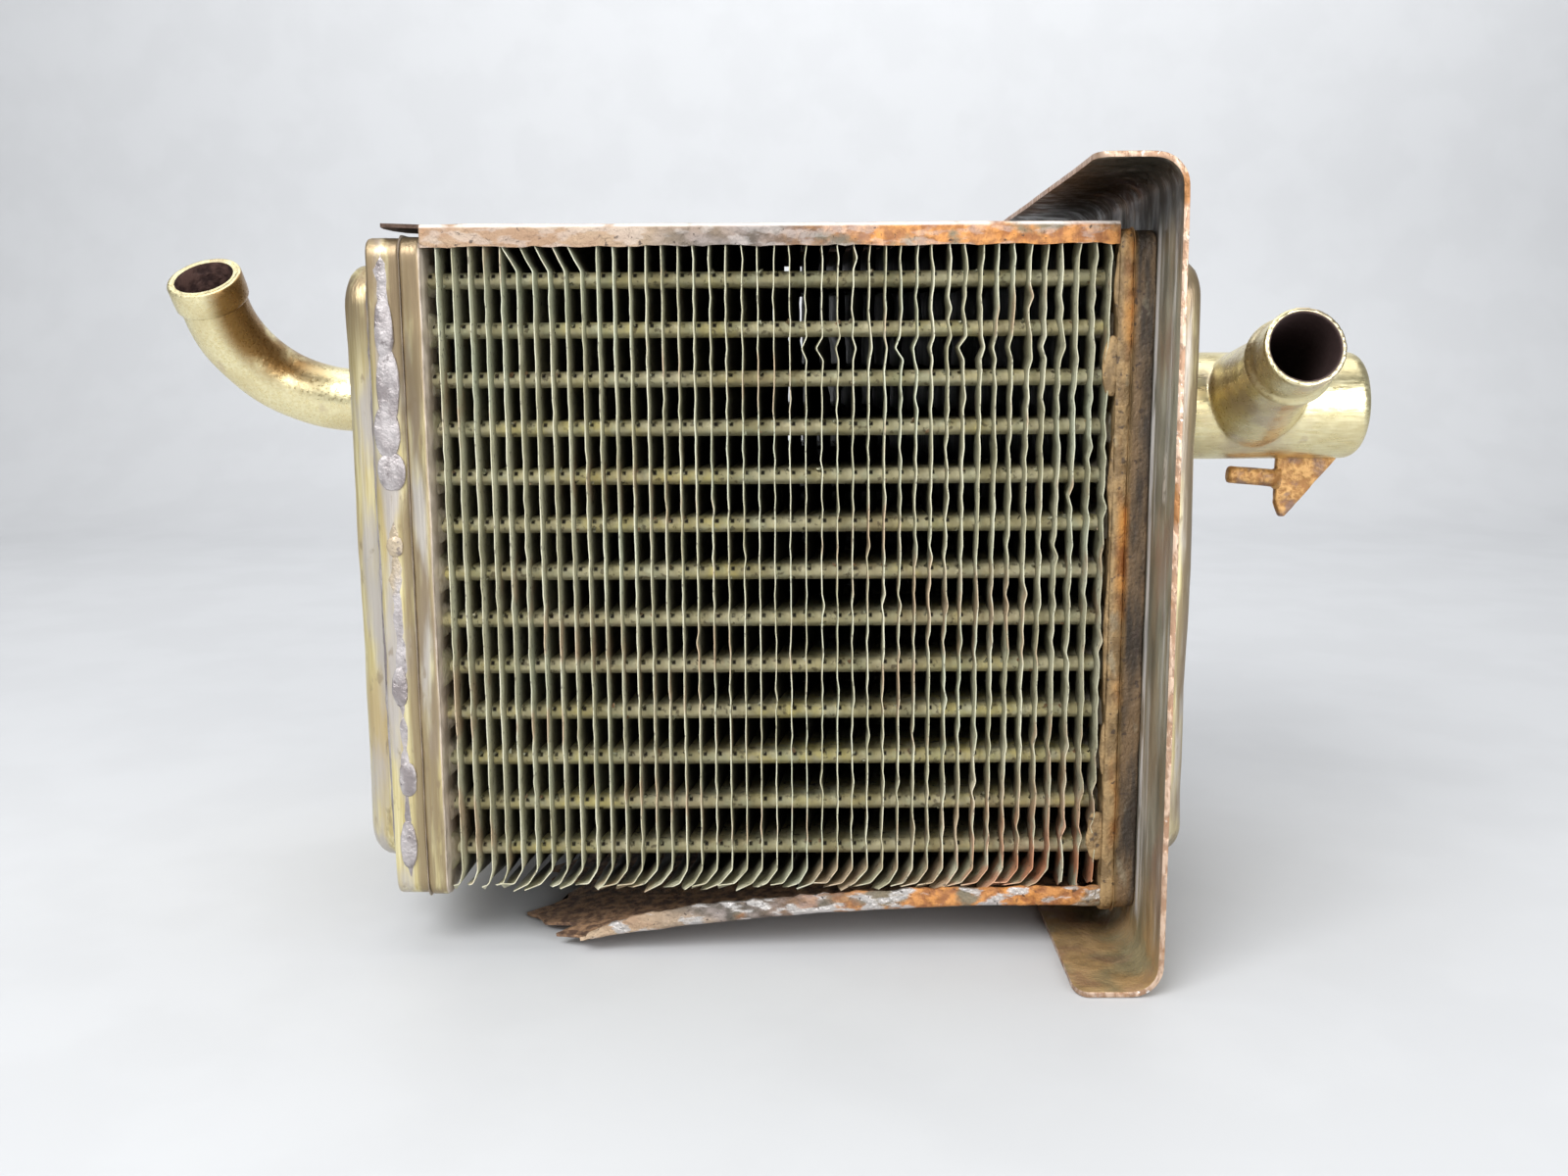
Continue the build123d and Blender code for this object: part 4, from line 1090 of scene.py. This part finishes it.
def make_outlet():
    start, turn_start, centre, turn_axis, angle, mouth = outlet_line()
    pipe = pipe_ring("outlet_pipe_wall", start, (-1, 0, 0), OUTLET_R)
    grow_pipe(start, (-1, 0, 0), [(0, OUTLET_R), (4.0, OUTLET_R), (4.0, OUTLET_R), (3.8, OUTLET_R)])
    pick("EDGE", open_rim(turn_start, Vector((-1, 0, 0))))
    bpy.ops.mesh.spin(steps=22, angle=-angle, center=at(*centre), axis=turn_axis)
    turned = mouth - OUTLET_AXIS * OUTLET_END
    pick("EDGE", open_rim(turned, OUTLET_AXIS))
    draw_out(*OUTLET_AXIS * OUTLET_END)
    face_out()
    dent(pipe, 0.5, 12.0, 1)
    leave()
    pipe.data.materials.append(PIPE)
    pipe.data.materials.append(BORE)
    modify(pipe, "SOLIDIFY", thickness=0.0009, offset=-1.0, material_offset=1)
    finish_piece(pipe, None, "pipe_brass", "outlet_pipe", angle=50)
    sleeve = pipe_ring("outlet_sleeve", mouth - OUTLET_AXIS * 6.5, OUTLET_AXIS, 7.75)
    grow_pipe(mouth - OUTLET_AXIS * 6.5, OUTLET_AXIS,
              [(0, 7.75), (0.15, 8.15), (0.5, 8.42), (1.6, 8.5), (2.2, 8.5), (1.6, 8.5), (0.35, 8.35),
               (0.1, 8.0), (0.0, 7.4), (-0.4, 6.9)])
    face_out()
    dent(sleeve, 0.22, 6.0, 1)
    finish_piece(sleeve, PIPE, "pipe_brass", "outlet_ferrule", angle=50)
    boss = pipe_ring("outlet_fillet", (-95.6, 52, 122), (-1, 0, 0), 10.2)
    grow_pipe((-95.6, 52, 122), (-1, 0, 0),
              [(0, 10.2), (0.7, 9.7), (0.9, 8.9), (1.0, 8.1), (0.6, 7.65), (0.5, 7.5)])
    dent(boss, 0.6, 5.0, 1)
    face_out()
    finish_piece(boss, SOLDER, "solder", "outlet_boss", angle=60)


make_outlet()

MANIFOLD_R, MANIFOLD_Z, MANIFOLD_START_X, MANIFOLD_END_X = 13.0, 119.5, 84.5, 138.45


def make_manifold():
    """The manifold and its stub as one skin: joined, bored, then melted together at the neck."""
    clear()
    bpy.ops.mesh.primitive_cylinder_add(
        vertices=72, radius=MANIFOLD_R / 1000, depth=(MANIFOLD_END_X - MANIFOLD_START_X) / 1000,
        location=at((MANIFOLD_END_X + MANIFOLD_START_X) / 2, 52, MANIFOLD_Z), rotation=(0, math.pi / 2, 0))
    body = begin("manifold_body")
    end = at(MANIFOLD_END_X, 0, 0).x
    round_edges(lambda c, edge: all(abs(v.co.x - end) < 1e-5 for v in edge.verts), 3.2, 5)
    leave()
    stub = pipe_ring("stub_body", INLET_MOUTH, INLET_INWARD, 8.8, 72)
    grow_pipe(INLET_MOUTH, INLET_INWARD,
              [(0, 8.8), (0.25, 9.0), (8.75, 9.0), (0.7, 9.75), (0.8, 10.25), (0.8, 10.25), (0.7, 9.6),
               (6.0, 9.5), (6.0, 10.0), (6.0, 10.9), (6.0, 11.7), (6.0, 12.0)])
    pick("EDGE", lambda c, edge: edge.is_boundary)
    bpy.ops.mesh.edge_face_add()
    face_out()
    leave()
    bore = pipe_ring("bore_tool", INLET_MOUTH - INLET_INWARD * 2, INLET_INWARD, 7.5, 72)
    grow_pipe(INLET_MOUTH - INLET_INWARD * 2, INLET_INWARD, [(0, 7.5), (42, 7.5)])
    pick("EDGE", lambda c, edge: edge.is_boundary)
    bpy.ops.mesh.edge_face_add()
    face_out()
    clear()
    modify(body, "BOOLEAN", operation="UNION", object=stub, solver="EXACT")
    modify(body, "BOOLEAN", operation="DIFFERENCE", object=bore, solver="EXACT")
    for tool in (stub, bore):
        bpy.data.objects.remove(tool)
    modify(body, "REMESH", mode="VOXEL", voxel_size=0.00048)
    modify(body, "SMOOTH", factor=0.5, iterations=6)
    body.select_set(True)
    bpy.context.view_layer.objects.active = body
    bpy.ops.object.mode_set(mode="EDIT")
    dent(body, 0.18, 9.0, 1)
    finish_piece(body, MANIFOLD, "pipe_brass", "inlet_manifold", "manifold_cap", "inlet_stub", "inlet_neck",
                 angle=60)
    ring = pipe_ring("manifold_fillet", (87.4, 52, MANIFOLD_Z), (1, 0, 0), 15.6)
    grow_pipe((87.4, 52, MANIFOLD_Z), (1, 0, 0),
              [(0, 15.6), (0.5, 15.0), (0.8, 14.2), (0.9, 13.4), (0.6, 12.95), (0.4, 12.8)])
    dent(ring, 0.6, 5.0, 1)
    face_out()
    finish_piece(ring, SOLDER, "solder", "manifold_braze", angle=60)


make_manifold()

# ---------------------------------------------------------------- tie bracket


def make_bracket():
    """A rusty gusset under the manifold with a round pin welded to its edge."""
    piece = block("gusset_plate", (119.6, 134.2), (50.8, 53.2), (92.0, 107.5))
    lower, upper = at(122.2, 0, 92.0), at(134.2, 0, 106.5)
    slope = (upper - lower).normalized()
    cut(lower, (-slope.z, 0, slope.x), clear_inner=True, use_fill=True)
    cut(at(119.6, 0, 95.5), (0.93, 0, 0.37), clear_inner=True, use_fill=True)
    round_edges(lambda c, edge: edge.is_manifold and edge.calc_face_angle(0) > 0.5 and c.z < 0.1065, 0.5, 3)
    slice_up(2, 92.0, 107.5, 14)
    slice_up(0, 119.6, 134.2, 12)
    dent(piece, 0.5, 3.5, 2)
    finish_piece(piece, BRACKET, "bracket_steel", "bracket_gusset", angle=40)
    tilt = math.radians(5)
    way = Vector((-math.cos(tilt), 0, math.sin(tilt)))
    foot = Vector((119.6, 52.0, 101.6)) - way * 0.8
    pin = pipe_ring("tie_pin_rod", foot, way, 2.9, 28)
    end = grow_pipe(foot, way, [(0, 2.9), (0.8, 2.7), (0.7, 2.2), (3.0, 2.1), (3.0, 2.1), (3.0, 2.1),
                                (1.5, 2.1), (0.5, 1.9), (0.2, 1.5)])
    pick("EDGE", open_rim(end, way))
    bpy.ops.mesh.edge_face_add()
    face_out()
    dent(pin, 0.3, 2.5, 2)
    finish_piece(pin, BRACKET, "bracket_steel", "bracket_pin", angle=50)


make_bracket()

# ---------------------------------------------------------------- CAD nodes that keep their shape

for row in range(1, ROW_COUNT + 1):
    slots = nodes[f"tube_row_{row:02d}"].data.materials
    slots.clear()
    slots.append(TUBE)

# ---------------------------------------------------------------- floor, light and camera

clear()
bpy.ops.mesh.primitive_plane_add(size=1, location=(0, 0, 0))
bpy.context.object.scale = (3.2, 1.8, 1)
floor = begin("floor")
pick("EDGE", lambda c, item: c.y > 0.85)
draw_out(z=1200)
pick("EDGE", lambda c, item: c.y > 0.85 and abs(c.z) < 1e-5)
bpy.ops.mesh.bevel(offset=0.25, segments=10)
clear()
floor.data.materials.append(pale_ground("pale_floor", (0.53, 0.54, 0.555)))
floor.data.shade_smooth()


def lamp(name, place, aim, size, power, tint=(1, 1, 1)):
    light = bpy.data.lights.new(name, "AREA")
    light.shape = "RECTANGLE"
    light.size, light.size_y = size
    light.energy = power
    light.color = tint
    holder = bpy.data.objects.new(name, light)
    bpy.context.scene.collection.objects.link(holder)
    holder.location = place
    holder.rotation_mode = "QUATERNION"
    holder.rotation_quaternion = (Vector(aim) - Vector(place)).to_track_quat("-Z", "Y")


lamp("key", (-0.45, -0.75, 0.85), (0, 0, 0.08), (0.7, 0.6), 15)
lamp("fill", (0.55, -0.8, 0.35), (0, 0, 0.08), (0.7, 0.5), 7)
lamp("over", (0.0, 0.1, 1.0), (0, 0, 0.05), (1.2, 0.7), 5)
lamp("behind", (0.1, 0.55, 0.7), (0, 0.9, 0.3), (1.2, 0.5), 3)

world = bpy.data.worlds.new("room")
bpy.context.scene.world = world
world.use_nodes = True
world.node_tree.nodes["Background"].inputs["Color"].default_value = (0.85, 0.87, 0.9, 1)
world.node_tree.nodes["Background"].inputs["Strength"].default_value = 0.32
bpy.context.scene.view_settings.view_transform = "Standard"

camera = bpy.data.objects.new("camera", bpy.data.cameras.new("camera"))
bpy.context.scene.collection.objects.link(camera)
camera.data.sensor_width, camera.data.lens = 36.0, 34.06
camera.data.clip_start, camera.data.clip_end = 0.01, 20
turn = Matrix(((0.99997, 0.00463, 0.00608), (0.00521, 0.16930, -0.98555), (-0.00559, 0.98555, 0.16930)))
camera.rotation_mode = "QUATERNION"
camera.rotation_quaternion = turn.to_quaternion()
camera.location = (0.00273, -0.366, 0.1377)
bpy.context.scene.camera = camera
